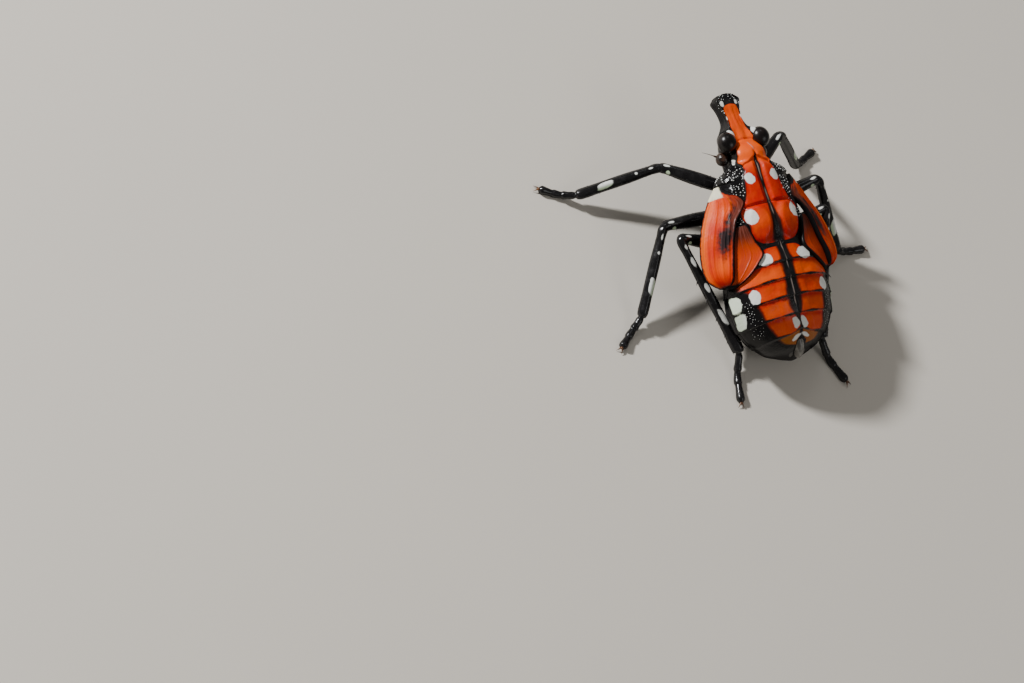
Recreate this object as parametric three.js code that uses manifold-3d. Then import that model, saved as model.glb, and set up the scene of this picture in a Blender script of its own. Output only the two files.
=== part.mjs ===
import * as THREE from 'three';
import { mergeVertices } from 'three/addons/utils/BufferGeometryUtils.js';
import Module from 'manifold-3d';

const wasm = await Module();
wasm.setup();

// A spotted lanternfly nymph of the fourth instar, life size, in millimetres.
// Body axes: x to the insect's left, s tailwards from the notch in the pronotum's rear edge,
// h towards the back. The body stands head up over a flat floor on its six feet.
const gap = 0.12;
const pitch = THREE.MathUtils.degToRad(12.5);
const notchHeight = 5.45;
// Points round a body section, and the smallest detail kept after the cuts.
const around = 32;
const finest = 0.006;

// Lines that carry the cross-sections along the body, each a list of [s, size].
const torsoLines = {
  top: [[-0.3, -0.06], [0.8, 0.18], [2.1, 0.26], [3.4, 0.36], [4.4, 0.14], [5.6, 0.24],
    [7.0, 0.12], [8.2, -0.22], [9.2, -0.9], [9.8, -1.5], [10.05, -2.0]],
  bottom: [[-0.3, -1.85], [0.9, -1.8], [3.2, -2.1], [5.2, -2.9], [7.0, -3.1], [8.6, -3.0],
    [9.6, -2.7], [10.05, -2.3]],
  half: [[-0.3, 0.8], [0.2, 0.92], [0.45, 1.4], [0.84, 2.02], [1.3, 2.12], [3.0, 2.3], [4.6, 2.45],
    [5.6, 2.7], [6.8, 2.9], [7.6, 2.88], [8.6, 2.5], [9.4, 1.75], [9.9, 0.95], [10.05, 0.45]],
  waist: [[-0.3, -1.0], [0.9, -1.1], [3.0, -1.35], [6.0, -1.4], [8.6, -1.7], [10.05, -2.15]],
  square: [[-0.3, 2.1], [10.05, 2.1]],
};
const headLines = {
  top: [[-3.32, -1.0], [-2.75, -0.88], [-2.2, -0.84], [-1.5, -0.66], [-0.9, -0.5], [-0.42, -0.6]],
  bottom: [[-3.32, -1.56], [-2.7, -1.5], [-2.1, -1.5], [-1.6, -1.75], [-1.0, -1.95], [-0.42, -1.9]],
  half: [[-3.32, 0.26], [-3.15, 0.42], [-2.92, 0.56], [-2.55, 0.56], [-2.2, 0.48], [-1.85, 0.43],
    [-1.3, 0.6], [-0.8, 0.84], [-0.42, 0.84]],
  waist: [[-3.32, -1.25], [-2.2, -1.15], [-1.2, -1.2], [-0.42, -1.2]],
  square: [[-3.32, 4.2], [-2.0, 3.4], [-1.3, 2.6], [-0.42, 2.2]],
};

// Where the torso is parted, on the midline, and how far each edge sweeps back at the sides.
const torsoFront = -0.3;
const metanotumFront = 2.45;
const abdomenFront = 4.5;
const tipFront = 9.15;
const torsoEnd = 10.05;
const tergiteEdges = [5.44, 6.28, 7.16, 8.05, 8.95];
const tergiteStep = 0.09;
const tergiteBow = 0.22;
const tergiteDrop = 0.02;
const pronotumLobe = 1.1;
const pronotumNotch = 0.36;
const metanotumBow = 0.3;
const abdomenBow = 0.12;
const disc = { radii: [0.84, 0.68, 0.46], centre: [0, -0.12, -0.42] };
const headFront = -3.32;
const headRear = -0.42;

const eye = { centre: [1.02, -0.8, -0.62], radii: [0.47, 0.52, 0.46] };
const antenna = { bulb: [1.17, -0.16, -1.1], radius: 0.29, root: [0.6, -0.35, -1.25],
  scapeRadius: 0.24, bristle: [1.9, -0.75, -1.55], bristleRadius: 0.08 };
const rostrum = { path: [[0, -1.35, -1.8], [0, -0.75, -2.3], [0, 0.1, -2.5], [0, 1.6, -2.52],
  [0, 3.3, -2.62]], radii: [0.42, 0.36, 0.24, 0.2, 0.1] };

// Forewing pads overlie the flanks; hindwing pads show as a strip behind their inner edge.
// Each vein runs from its first share of the pad's width at the front to its second at the rear.
const forePad = {
  front: 1.2, rear: 6.1, thickness: 0.5, rim: 0.24, crown: 0.2, veinHeight: 0.055,
  veins: [[0.2, 0.14], [0.36, 0.42], [0.52, 0.62], [0.7, 0.8]],
  outer: [[1.2, 2.2], [1.73, 2.66], [2.86, 3.32], [3.84, 3.74], [4.91, 3.98], [5.58, 3.9],
    [5.94, 3.54], [6.1, 3.05]],
  inner: [[1.2, 1.75], [1.58, 1.32], [2.45, 1.45], [3.78, 1.68], [4.91, 1.9], [5.53, 2.22],
    [5.94, 2.62], [6.1, 2.95]],
  rise: [[1.2, 0.02], [2.25, 0.14], [3.78, 0.32], [6.1, 0.42]],
  outerHeight: [[1.2, -0.95], [2.66, -1.16], [4.91, -1.2], [6.1, -1.12]],
};
const hindPad = {
  front: 3.37, rear: 6.18, thickness: 0.42, rim: 0.24, crown: 0.04, veinHeight: 0.04,
  veins: [[0.5, 0.5]],
  outer: [[3.37, 2.0], [4.91, 2.5], [5.73, 2.95], [6.18, 2.9]],
  inner: [[3.37, 1.62], [4.19, 1.42], [4.86, 1.24], [5.32, 1.62], [5.83, 2.2], [6.18, 2.72]],
  rise: [[3.37, 0.16], [6.18, 0.26]],
};

// Legs, front to rear: segment lengths, half-thicknesses and where each springs from the belly.
const legSizes = {
  front: { root: [0.67, 0.97, -2.42], femur: 3.2, tibia: 4.45, tarsus: 1.8 },
  mid: { root: [1.11, 2.32, -2.42], femur: 3.52, tibia: 4.57, tarsus: 1.9 },
  hind: { root: [1.08, 3.9, -2.41], femur: 3.62, tibia: 6.5, tarsus: 2.4 },
};
// The pose: each segment's heading in degrees from straight out towards the tail, and its lift.
const legPose = {
  left_front: { femur: [-37.6, -12.3], tibia: [-0.3, -22.3], tarsus: -27.9 },
  left_mid: { femur: [-0.8, -0.6], tibia: [62.6, -26.4], tarsus: 37.9 },
  left_hind: { femur: [-9.6, 14.8], tibia: [113.9, -22.2], tarsus: 74.1 },
  right_front: { femur: [-35.0, 18.9], tibia: [9.8, -50.2], tarsus: -23.9 },
  right_mid: { femur: [-9.1, 17.7], tibia: [58.3, -43.9], tarsus: 2.5 },
  right_hind: { femur: [-11.0, 14.8], tibia: [105.9, -22.4], tarsus: 70.3 },
};
const femurRadius = [[0, 0.27], [0.2, 0.31], [0.55, 0.3], [0.9, 0.25], [1, 0.25]];
const tibiaRadius = [[0, 0.24], [0.12, 0.22], [0.4, 0.25], [0.75, 0.24], [1, 0.27]];
const hindTibiaRadius = [[0, 0.24], [0.12, 0.22], [0.4, 0.25], [0.75, 0.27], [1, 0.34]];
const tarsusRadius = [[0, 0.2], [0.2, 0.17], [0.36, 0.2], [0.44, 0.17], [0.62, 0.2], [0.72, 0.18],
  [0.9, 0.21], [1, 0.16]];
const coxaRadius = [[0, 0.46], [0.6, 0.42], [1, 0.3]];
const coxaLean = { x: 0.8, s: -0.15, h: 1.0 };
const bend = 0.34;
const legSides = 10;
const soleHeight = 0.13;
const claw = { length: 0.34, radius: 0.075, spread: 30, buried: 0.04, tipHeight: 0.05 };
// Spurs stand along the hind tibia's outer side; a crown of spines rings its flared end.
const spine = { radius: 0.075, blunt: 0.2, sides: 5 };
const spurs = { places: [0.34, 0.5, 0.66, 0.8], root: 0.14, out: 0.32, onward: 0.22 };
const crown = { count: 7, from: 0.15, spread: 1.7, setBack: 0.42, inset: 0.09, onward: 0.4, out: 0.14 };
const keel = { corner: 0.8, height: 0.07, from: -1.1, full: -1.6 };
const cushion = { height: 0.1, inner: [0.06, 0.2], outer: [0.5, 0.66], rear: [0.5, 0.12] };

function along(knots, at) {
  // Smooth curve through the knots, level beyond their ends.
  const last = knots.length - 1;
  if (at <= knots[0][0]) return knots[0][1];
  if (at >= knots[last][0]) return knots[last][1];
  let i = 0;
  while (at > knots[i + 1][0]) i += 1;
  const slope = (k) => {
    const low = Math.max(k - 1, 0);
    const high = Math.min(k + 1, last);
    return (knots[high][1] - knots[low][1]) / (knots[high][0] - knots[low][0]);
  };
  const span = knots[i + 1][0] - knots[i][0];
  const t = (at - knots[i][0]) / span;
  const a = (1 + 2 * t) * (1 - t) ** 2 * knots[i][1] + t * (1 - t) ** 2 * span * slope(i);
  return a + t * t * (3 - 2 * t) * knots[i + 1][1] - t * t * (1 - t) * span * slope(i + 1);
}

function smooth(low, high, value) {
  const t = Math.min(Math.max((value - low) / (high - low), 0), 1);
  return t * t * (3 - 2 * t);
}

function sectionPoint(lines, s, angle, grow = 0) {
  // Superellipse with its own top, bottom, half-width and waist height at each s.
  const power = 2 / along(lines.square, s);
  const waist = along(lines.waist, s);
  const u = Math.sin(angle);
  const v = Math.cos(angle);
  const x = (along(lines.half, s) + grow) * Math.sign(u) * Math.abs(u) ** power;
  const reach = v > 0 ? along(lines.top, s) + grow - waist : waist - along(lines.bottom, s) + grow;
  return [x, s, waist + Math.sign(v) * reach * Math.abs(v) ** power];
}

function torsoHeight(s, x) {
  // Height of the back above a point off the midline.
  const power = 2 / along(torsoLines.square, s);
  const u = Math.min(Math.abs(x) / along(torsoLines.half, s), 1) ** (1 / power);
  const waist = along(torsoLines.waist, s);
  return waist + (along(torsoLines.top, s) - waist) * Math.sqrt(1 - u * u) ** power;
}

function loft(rings) {
  // Closed skin over rings of equal count, with a fan to the middle of each end ring.
  const count = rings[0].length;
  const points = rings.flat();
  const faces = [];
  for (let r = 0; r < rings.length - 1; r += 1) {
    for (let k = 0; k < count; k += 1) {
      const a = r * count + k;
      const b = r * count + (k + 1) % count;
      faces.push(a, b, b + count, a, b + count, a + count);
    }
  }
  [0, rings.length - 1].forEach((r, end) => {
    const middle = [0, 1, 2].map((c) => rings[r].reduce((sum, p) => sum + p[c], 0) / count);
    points.push(middle);
    for (let k = 0; k < count; k += 1) {
      const a = r * count + k;
      const b = r * count + (k + 1) % count;
      if (end === 0) faces.push(b, a, points.length - 1);
      else faces.push(a, b, points.length - 1);
    }
  });
  return { points, faces };
}

function volume({ points, faces }) {
  let sum = 0;
  for (let f = 0; f < faces.length; f += 3) {
    const [a, b, c] = [0, 1, 2].map((k) => new THREE.Vector3(...points[faces[f + k]]));
    sum += a.dot(b.cross(c)) / 6;
  }
  return sum;
}

function solid(shape) {
  // Faces are turned outwards where the rings ran the other way round.
  const faces = shape.faces.slice();
  if (volume(shape) < 0) {
    for (let f = 0; f < faces.length; f += 3) {
      [faces[f + 1], faces[f + 2]] = [faces[f + 2], faces[f + 1]];
    }
  }
  const mesh = new wasm.Mesh({
    numProp: 3,
    vertProperties: new Float32Array(shape.points.flat()),
    triVerts: new Uint32Array(faces),
  });
  mesh.merge();
  return new wasm.Manifold(mesh);
}

function solidOf(geometry) {
  const bare = geometry.clone();
  bare.deleteAttribute('normal');
  bare.deleteAttribute('uv');
  const merged = mergeVertices(bare, 1e-5);
  const position = merged.attributes.position;
  const points = [];
  for (let i = 0; i < position.count; i += 1) {
    points.push([position.getX(i), position.getY(i), position.getZ(i)]);
  }
  return solid({ points, faces: Array.from(merged.index.array) });
}

function largest(body) {
  const parts = body.decompose();
  return parts.reduce((best, part) => (part.volume() > best.volume() ? part : best));
}

function geometryOf(body) {
  const mesh = largest(largest(body).simplify(finest)).getMesh();
  const geometry = new THREE.BufferGeometry();
  geometry.setAttribute('position', new THREE.BufferAttribute(mesh.vertProperties.slice(), 3));
  geometry.setIndex(new THREE.BufferAttribute(mesh.triVerts.slice(), 1));
  geometry.computeVertexNormals();
  return geometry;
}

function ring(pointAt, count = around) {
  return Array.from({ length: count }, (_, k) => pointAt((2 * Math.PI * k) / count));
}

function segment(lines, stations, grow = 0, relief = () => 0) {
  // stations: functions of the angle that give s, so that an edge may sweep back at the sides.
  return loft(stations.map((station) => ring((angle) => {
    const s = station.at(angle);
    return sectionPoint(lines, s, angle, grow + relief(s, angle, station));
  })));
}

function between(front, rear, count) {
  return Array.from({ length: count + 1 }, (_, k) => ({
    at: (angle) => front(angle) + ((rear(angle) - front(angle)) * k) / count,
  }));
}

function plane(s) {
  return () => s;
}

function swept(s, bow) {
  // An edge at s on the midline that runs further back towards each side.
  return (angle) => s + bow * Math.sin(angle) ** 2;
}

function pronotumRear(angle) {
  const side = Math.abs(Math.sin(angle));
  const lobe = (pronotumLobe - pronotumNotch) * smooth(0.3, 0.95, side);
  const back = pronotumNotch * smooth(0, 0.34, side) + lobe;
  return Math.cos(angle) > 0 ? back : pronotumLobe;
}

const ownColour = {
  orange: new THREE.MeshStandardMaterial({ color: 0xe0560c, roughness: 0.4, metalness: 0 }),
  red: new THREE.MeshStandardMaterial({ color: 0xc92608, roughness: 0.38, metalness: 0 }),
  black: new THREE.MeshStandardMaterial({ color: 0x0c0b0b, roughness: 0.28, metalness: 0 }),
  eye: new THREE.MeshStandardMaterial({ color: 0x1a100d, roughness: 0.22, metalness: 0 }),
  brown: new THREE.MeshStandardMaterial({ color: 0x2a160c, roughness: 0.35, metalness: 0 }),
};

const insect = new THREE.Group();
const body = new THREE.Group();
body.position.set(0, 0, notchHeight);
body.rotation.x = -pitch;
insect.add(body);

function add(parent, name, shape, material) {
  const mesh = new THREE.Mesh(geometryOf(shape), material);
  mesh.name = name;
  parent.add(mesh);
}

// Torso: pronotum, mesonotum, metanotum, abdomen and its tip.
const torsoStations = between(plane(torsoFront - gap), plane(torsoEnd + gap), 40);
const torsoGrown = solid(segment(torsoLines, torsoStations, gap));
const headStations = between(plane(headFront - gap), plane(headRear + gap), 16);
const headGrown = solid(segment(headLines, headStations, gap));

function ball(centre, radii, grow, across, down) {
  // Ellipsoid with every radius grown by the same amount.
  const sphere = new THREE.SphereGeometry(1, across, down);
  sphere.scale(...radii.map((radius) => radius + grow));
  sphere.translate(...centre);
  return solidOf(sphere);
}

const discAcross = 20;
const discDown = 12;

function pronotum() {
  const collar = solid(segment(torsoLines, between(plane(torsoFront), pronotumRear, 5)));
  const dome = ball(disc.centre, disc.radii, 0, discAcross, discDown);
  return collar.add(dome).subtract(headGrown);
}

function panelRelief(s, angle) {
  // Cushions on either side of the midline groove, with the metanotum's rounded rear ends.
  const side = Math.abs(Math.sin(angle));
  if (Math.cos(angle) < 0) return 0;
  const across = smooth(...cushion.inner, side) * (1 - smooth(...cushion.outer, side));
  const rear = 1 - smooth(abdomenFront - cushion.rear[0], abdomenFront - cushion.rear[1], s);
  return cushion.height * across * rear;
}

function mesonotum() {
  const front = (angle) => pronotumRear(angle) + gap;
  const rear = (angle) => swept(metanotumFront, metanotumBow)(angle) - gap / 2;
  return solid(segment(torsoLines, between(front, rear, 6), 0, panelRelief));
}

function metanotum() {
  const front = (angle) => swept(metanotumFront, metanotumBow)(angle) + gap / 2;
  const rear = (angle) => swept(abdomenFront, abdomenBow)(angle) - gap / 2;
  return solid(segment(torsoLines, between(front, rear, 7), 0, panelRelief));
}

function abdomenStations() {
  // Each tergite rises to its rear edge and steps down to the next one's front; the last one
  // goes on into the tip.
  const stations = [{ at: (angle) => swept(abdomenFront, abdomenBow)(angle) + gap / 2, lift: 0 }];
  const last = tergiteEdges.length - 1;
  let from = abdomenFront;
  tergiteEdges.forEach((edge, k) => {
    const bow = k === last ? tergiteBow / 2 : tergiteBow;
    const shares = k === last ? [0.35, 0.7] : [0.35, 0.7, 0.96];
    shares.forEach((t) => stations.push({ at: swept(from + (edge - from) * t, bow), lift: tergiteStep * t }));
    if (k < last) stations.push({ at: swept(edge + tergiteDrop, bow), lift: 0 });
    from = edge;
  });
  stations.push({ at: plane(tipFront - gap / 2), lift: tergiteStep });
  return stations;
}

function abdomen() {
  // The belly plates step half as high as the back ones.
  const relief = (s, angle, station) => station.lift * (0.5 + 0.5 * smooth(-0.4, 0.2, Math.cos(angle)));
  return solid(segment(torsoLines, abdomenStations(), 0, relief));
}

function abdomenTip() {
  return solid(segment(torsoLines, between(plane(tipFront + gap / 2), plane(torsoEnd), 5)));
}

add(body, 'pronotum', pronotum(), ownColour.orange);
add(body, 'mesonotum', mesonotum(), ownColour.red);
add(body, 'metanotum', metanotum(), ownColour.red);
add(body, 'abdomen', abdomen(), ownColour.red);
add(body, 'abdomen_tip', abdomenTip(), ownColour.black);

// Head with its squared, flared horn and side keels.
function hornKeel(s, angle) {
  const turn = angle > Math.PI ? 2 * Math.PI - angle : angle;
  const away = Math.abs(turn - keel.corner);
  return keel.height * (1 - smooth(0.1, 0.3, away)) * (1 - smooth(keel.full, keel.from, s));
}

const headRings = between(plane(headFront), plane(headRear), 16);
add(body, 'head', solid(segment(headLines, headRings, 0, hornKeel)), ownColour.orange);

function tube(path, radii, sides) {
  // Rings square to a path in one upright plane or near it, with a radius for each point.
  const points = path.map((p) => new THREE.Vector3(...p));
  const rings = points.map((p, i) => {
    const ahead = points[Math.min(i + 1, points.length - 1)];
    const behind = points[Math.max(i - 1, 0)];
    return ringAcross(p, ahead.clone().sub(behind).normalize(), radii[i], sides);
  });
  return loft(rings);
}

function ringAcross(centre, tangent, radius, sides) {
  const upright = Math.abs(tangent.z) > 0.95 ? new THREE.Vector3(0, 1, 0) : new THREE.Vector3(0, 0, 1);
  const across = new THREE.Vector3().crossVectors(tangent, upright).normalize();
  const over = new THREE.Vector3().crossVectors(across, tangent);
  return ring((angle) => centre.clone()
    .addScaledVector(across, radius * Math.sin(angle))
    .addScaledVector(over, radius * Math.cos(angle)).toArray(), sides);
}

function onSide([x, s, h], side) {
  return [x * side, s, h];
}

function eyeSolid(side, grow) {
  return ball(onSide(eye.centre, side), eye.radii, grow, 18, 12);
}

function antennaSolid(side) {
  // Scape, swollen pedicel and the bristle beyond it.
  const bulbRadii = [antenna.radius, antenna.radius, antenna.radius];
  const pedicel = ball(onSide(antenna.bulb, side), bulbRadii, 0, 12, 8);
  const scapeRadii = [antenna.scapeRadius, antenna.scapeRadius];
  const scape = solid(tube([onSide(antenna.root, side), onSide(antenna.bulb, side)], scapeRadii, 8));
  const bristleRadii = [antenna.bristleRadius, antenna.bristleRadius / 3];
  const bristle = solid(tube([onSide(antenna.bulb, side), onSide(antenna.bristle, side)], bristleRadii, 6));
  return pedicel.add(scape).add(bristle);
}

const sides = { left: 1, right: -1 };
const discGrown = ball(disc.centre, disc.radii, gap, discAcross, discDown);
for (const [name, side] of Object.entries(sides)) {
  const eyeBall = eyeSolid(side, 0).subtract(headGrown).subtract(torsoGrown).subtract(discGrown);
  add(body, `eye_${name}`, eyeBall, ownColour.eye);
  const feeler = antennaSolid(side).subtract(headGrown).subtract(torsoGrown).subtract(eyeSolid(side, gap));
  add(body, `antenna_${name}`, feeler, ownColour.brown);
}

const beak = solid(tube(rostrum.path, rostrum.radii, 10));
add(body, 'rostrum', beak.subtract(headGrown).subtract(torsoGrown), ownColour.black);

// Wing pads: closed lofts from an inner edge near the back to an outer edge over the flank.
function padShares(pad, t) {
  // Places across the upper face with how much of the vein height each stands up: the rim at both
  // edges, then each vein's crest between its two feet.
  const shares = [[0, 0], [0.035, 1], [0.08, 0]];
  for (const [start, end] of pad.veins) {
    const crest = start + (end - start) * t;
    shares.push([crest - 0.05, 0], [crest, Math.sin(Math.PI * t)], [crest + 0.05, 0]);
  }
  shares.push([0.92, 0], [0.965, 1], [1, 0]);
  return shares;
}

function padShape(pad, side, grow = 0) {
  const steps = 14;
  const under = 10;
  const rings = Array.from({ length: steps + 1 }, (_, k) => {
    const t = 0.5 - 0.5 * Math.cos((Math.PI * k) / steps);
    const s = pad.front + (pad.rear - pad.front) * t;
    const inner = along(pad.inner, s);
    const outer = along(pad.outer, s);
    const innerHeight = torsoHeight(s, inner) + along(pad.rise, s);
    const outerHeight = pad.outerHeight ? along(pad.outerHeight, s)
      : torsoHeight(s, outer) + along(pad.rise, s);
    const slope = Math.atan2(innerHeight - outerHeight, outer - inner);
    const point = (f, depth) => {
      const x = inner + (outer - inner) * f;
      const h = innerHeight + (outerHeight - innerHeight) * f + pad.crown * Math.sin(Math.PI * f);
      return [side * (x - depth * Math.sin(slope)), s, h - depth * Math.cos(slope)];
    };
    const upper = padShares(pad, t).map(([f, stand]) => point(f, -grow - pad.veinHeight * stand));
    const lower = Array.from({ length: under - 1 }, (_, j) => {
      const f = 1 - (j + 1) / under;
      return point(f, pad.rim + (pad.thickness - pad.rim) * Math.sin(Math.PI * f) + grow);
    });
    return [...upper, ...lower];
  });
  return loft(rings);
}

for (const [name, side] of Object.entries(sides)) {
  const fore = solid(padShape(forePad, side)).subtract(torsoGrown);
  add(body, `forewing_pad_${name}`, fore, ownColour.red);
  const foreGrown = solid(padShape(forePad, side, gap));
  const hind = solid(padShape(hindPad, side)).subtract(torsoGrown).subtract(foreGrown);
  add(body, `hindwing_pad_${name}`, hind, ownColour.orange);
}

// Legs stand in the floor's own axes; their roots are carried over from the body's.
const legs = new THREE.Group();
insect.add(legs);

function toFloor(point) {
  return new THREE.Vector3(...point).applyAxisAngle(new THREE.Vector3(1, 0, 0), -pitch)
    .add(new THREE.Vector3(0, 0, notchHeight));
}

function heading(side, turn, lift) {
  const a = THREE.MathUtils.degToRad(turn);
  const b = THREE.MathUtils.degToRad(lift);
  return new THREE.Vector3(side * Math.cos(a) * Math.cos(b), Math.sin(a) * Math.cos(b), Math.sin(b));
}

function halfBend(from, corner, to, entering) {
  // One half of a rounded corner: points and tangents, up to the cut across its middle.
  const before = corner.clone().sub(from).normalize();
  const after = to.clone().sub(corner).normalize();
  const start = corner.clone().addScaledVector(before, -bend);
  const end = corner.clone().addScaledVector(after, bend);
  const steps = entering ? [0, 0.2, 0.36, 0.5] : [0.5, 0.64, 0.8, 1];
  return steps.map((t) => {
    const point = start.clone().multiplyScalar((1 - t) ** 2)
      .addScaledVector(corner, 2 * t * (1 - t)).addScaledVector(end, t * t);
    const tangent = before.clone().multiplyScalar(1 - t).addScaledVector(after, t).normalize();
    const away = entering ? -gap / 2 : gap / 2;
    return { point: point.addScaledVector(tangent, t === 0.5 ? away : 0), tangent };
  });
}

function evenBend(from, corner, to) {
  // From the belly to the cut across the corner's middle, turning evenly all the way.
  const cut = halfBend(from, corner, to, true)[3];
  const before = corner.clone().sub(from).normalize();
  return [0, 0.3, 0.6, 1].map((t) => ({
    point: from.clone().lerp(cut.point, t),
    tangent: before.clone().lerp(cut.tangent, t).normalize(),
  }));
}

function limb(stations, radii) {
  const lengths = [0];
  for (let i = 1; i < stations.length; i += 1) {
    lengths.push(lengths[i - 1] + stations[i].point.distanceTo(stations[i - 1].point));
  }
  const total = lengths[lengths.length - 1];
  return stations.map(({ point, tangent }, i) => ringAcross(point, tangent,
    along(radii, lengths[i] / total), legSides));
}

function straight(from, to, fractions) {
  const tangent = to.clone().sub(from).normalize();
  return fractions.map((t) => ({ point: from.clone().lerp(to, t), tangent }));
}

function cone(base, tip, radius) {
  const axis = tip.clone().sub(base).normalize();
  const start = ringAcross(base, axis, radius, spine.sides);
  const end = ringAcross(tip, axis, radius * spine.blunt, spine.sides);
  return solid(loft([start, end]));
}

function standOnFloor(rings) {
  return rings.map((points) => points.map(([x, y, z]) => [x, y, Math.max(z, 0)]));
}

function tarsusSolid(side, ankleBend, toe, turn) {
  // Down to the floor in its first part, then level on a flat sole, with two claws.
  const flatFrom = ankleBend[3].point.clone().lerp(toe, 0.42).setZ(soleHeight);
  const level = straight(flatFrom, toe, [0, 0.12, 0.3, 0.42, 0.7, 0.88, 1]);
  let foot = solid(loft(standOnFloor(limb([...ankleBend, ...level], tarsusRadius))));
  for (const spread of [-claw.spread, claw.spread]) {
    const out = heading(side, turn + spread, 0);
    const base = toe.clone().addScaledVector(out, -claw.buried).setZ(soleHeight);
    const tip = toe.clone().addScaledVector(out, claw.length).setZ(claw.tipHeight);
    foot = foot.add(cone(base, tip, claw.radius));
  }
  return foot;
}

function tibiaSpines(knee, ankle, radii) {
  const axis = ankle.clone().sub(knee);
  const onward = axis.clone().normalize();
  const across = new THREE.Vector3().crossVectors(onward, new THREE.Vector3(0, 0, 1)).normalize();
  const over = new THREE.Vector3().crossVectors(across, onward);
  const out = Math.sign(across.x * (knee.x + ankle.x)) || 1;
  const pieces = spurs.places.map((t) => {
    const foot = knee.clone().addScaledVector(axis, t).addScaledVector(across, out * spurs.root);
    const tip = foot.clone().addScaledVector(across, out * spurs.out).addScaledVector(onward, spurs.onward);
    return cone(foot, tip, spine.radius);
  });
  const crownRadius = along(radii, 1) - crown.inset;
  for (let k = 0; k < crown.count; k += 1) {
    const angle = Math.PI * (crown.from + (crown.spread * k) / (crown.count - 1));
    const round = across.clone().multiplyScalar(Math.sin(angle)).addScaledVector(over, -Math.cos(angle));
    const foot = ankle.clone().addScaledVector(onward, -crown.setBack).addScaledVector(round, crownRadius);
    const tip = foot.clone().addScaledVector(onward, crown.onward).addScaledVector(round, crown.out);
    pieces.push(cone(foot, tip, spine.radius));
  }
  return pieces;
}

const torsoOnFloor = new THREE.Matrix4().makeRotationX(-pitch).setPosition(0, 0, notchHeight);
const torsoGrownOnFloor = torsoGrown.transform(torsoOnFloor.toArray());

for (const [name, pose] of Object.entries(legPose)) {
  const [sideName, pair] = name.split('_');
  const side = sides[sideName];
  const size = legSizes[pair];
  const hind = pair === 'hind';
  const root = toFloor(onSide(size.root, side));
  const knee = root.clone().addScaledVector(heading(side, ...pose.femur), size.femur);
  const ankle = knee.clone().addScaledVector(heading(side, ...pose.tibia), size.tibia);
  const toe = ankle.clone().addScaledVector(heading(side, pose.tarsus, 0), size.tarsus);
  toe.z = soleHeight;
  const [rootX, rootS, rootH] = size.root;
  const buried = toFloor([side * rootX * coxaLean.x, rootS + coxaLean.s, rootH + coxaLean.h]);
  const femur = [...halfBend(buried, root, knee, false), ...straight(root, knee, [0.35, 0.6, 0.8]),
    ...halfBend(root, knee, ankle, true)];
  const tibia = [...halfBend(root, knee, ankle, false), ...straight(knee, ankle, [0.25, 0.5, 0.75]),
    ...halfBend(knee, ankle, toe, true)];
  const tibiaRadii = hind ? hindTibiaRadius : tibiaRadius;
  let shank = solid(loft(limb(tibia, tibiaRadii)));
  if (hind) {
    for (const piece of tibiaSpines(knee, ankle, tibiaRadii)) shank = shank.add(piece);
  }
  const leg = `leg_${sideName}_${pair}`;
  const coxa = solid(loft(limb(evenBend(buried, root, knee), coxaRadius)));
  const thigh = solid(loft(limb(femur, femurRadius)));
  const foot = tarsusSolid(side, halfBend(knee, ankle, toe, false), toe, pose.tarsus);
  add(legs, `${leg}_coxa`, coxa.subtract(torsoGrownOnFloor), ownColour.black);
  add(legs, `${leg}_femur`, thigh.subtract(torsoGrownOnFloor), ownColour.black);
  add(legs, `${leg}_tibia`, shank, ownColour.black);
  add(legs, `${leg}_tarsus`, foot, ownColour.black);
}

// The origin is under the middle of the whole insect, on the floor.
const bounds = new THREE.Box3().setFromObject(insect);
const centre = bounds.getCenter(new THREE.Vector3());
insect.position.set(-centre.x, -centre.y, -bounds.min.z);

export default insect;
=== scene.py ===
import bpy
import math
import numpy as np
from mathutils import Matrix, Vector


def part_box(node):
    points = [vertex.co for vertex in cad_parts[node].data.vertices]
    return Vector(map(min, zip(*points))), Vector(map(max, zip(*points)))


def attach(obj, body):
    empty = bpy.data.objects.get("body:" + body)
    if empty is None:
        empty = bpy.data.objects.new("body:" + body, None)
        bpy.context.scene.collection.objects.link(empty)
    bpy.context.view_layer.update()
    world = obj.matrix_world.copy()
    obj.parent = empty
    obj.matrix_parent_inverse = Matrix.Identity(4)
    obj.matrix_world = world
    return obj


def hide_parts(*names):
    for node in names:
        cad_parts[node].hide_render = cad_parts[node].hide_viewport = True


# Spotted lanternfly nymph, red fourth instar, dressed over its CAD frame.
# Sizes are in millimetres on the insect's own axes and turned into metres of the frame at the end:
# x to its left, s tailwards from the notch in the pronotum's rear edge, h towards its back.

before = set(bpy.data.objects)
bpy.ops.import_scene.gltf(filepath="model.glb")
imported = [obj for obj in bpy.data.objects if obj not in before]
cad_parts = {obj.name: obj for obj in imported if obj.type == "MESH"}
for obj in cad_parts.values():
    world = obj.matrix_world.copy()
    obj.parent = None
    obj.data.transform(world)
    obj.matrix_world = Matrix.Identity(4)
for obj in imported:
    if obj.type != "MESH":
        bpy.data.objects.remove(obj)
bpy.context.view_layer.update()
mm = 0.001
rng = np.random.default_rng(7)

pose = {
    "pitch": math.radians(12.5),       # body, head up
    "notchHeight": 5.45,               # notch above the floor
    "eyeCentre": (1.02, -0.8, -0.62),  # left eye of the solids, to find the frame's origin by
    "eyeRadii": (0.47, 0.52, 0.46),
}
cosPitch, sinPitch = math.cos(pose["pitch"]), math.sin(pose["pitch"])


def frameShift():
    # the frame's origin is under the middle of the insect, so the eyes' boxes say how far it moved
    left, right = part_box("eye_left"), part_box("eye_right")
    middle = (left[1].x + right[0].x) / 2 / mm
    _, s, h = pose["eyeCentre"]
    _, rs, rh = pose["eyeRadii"]
    reach = math.hypot(rs * cosPitch, rh * sinPitch)
    front = s * cosPitch + h * sinPitch - reach
    return np.array([middle, left[0].y / mm - front, 0.0])


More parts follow.
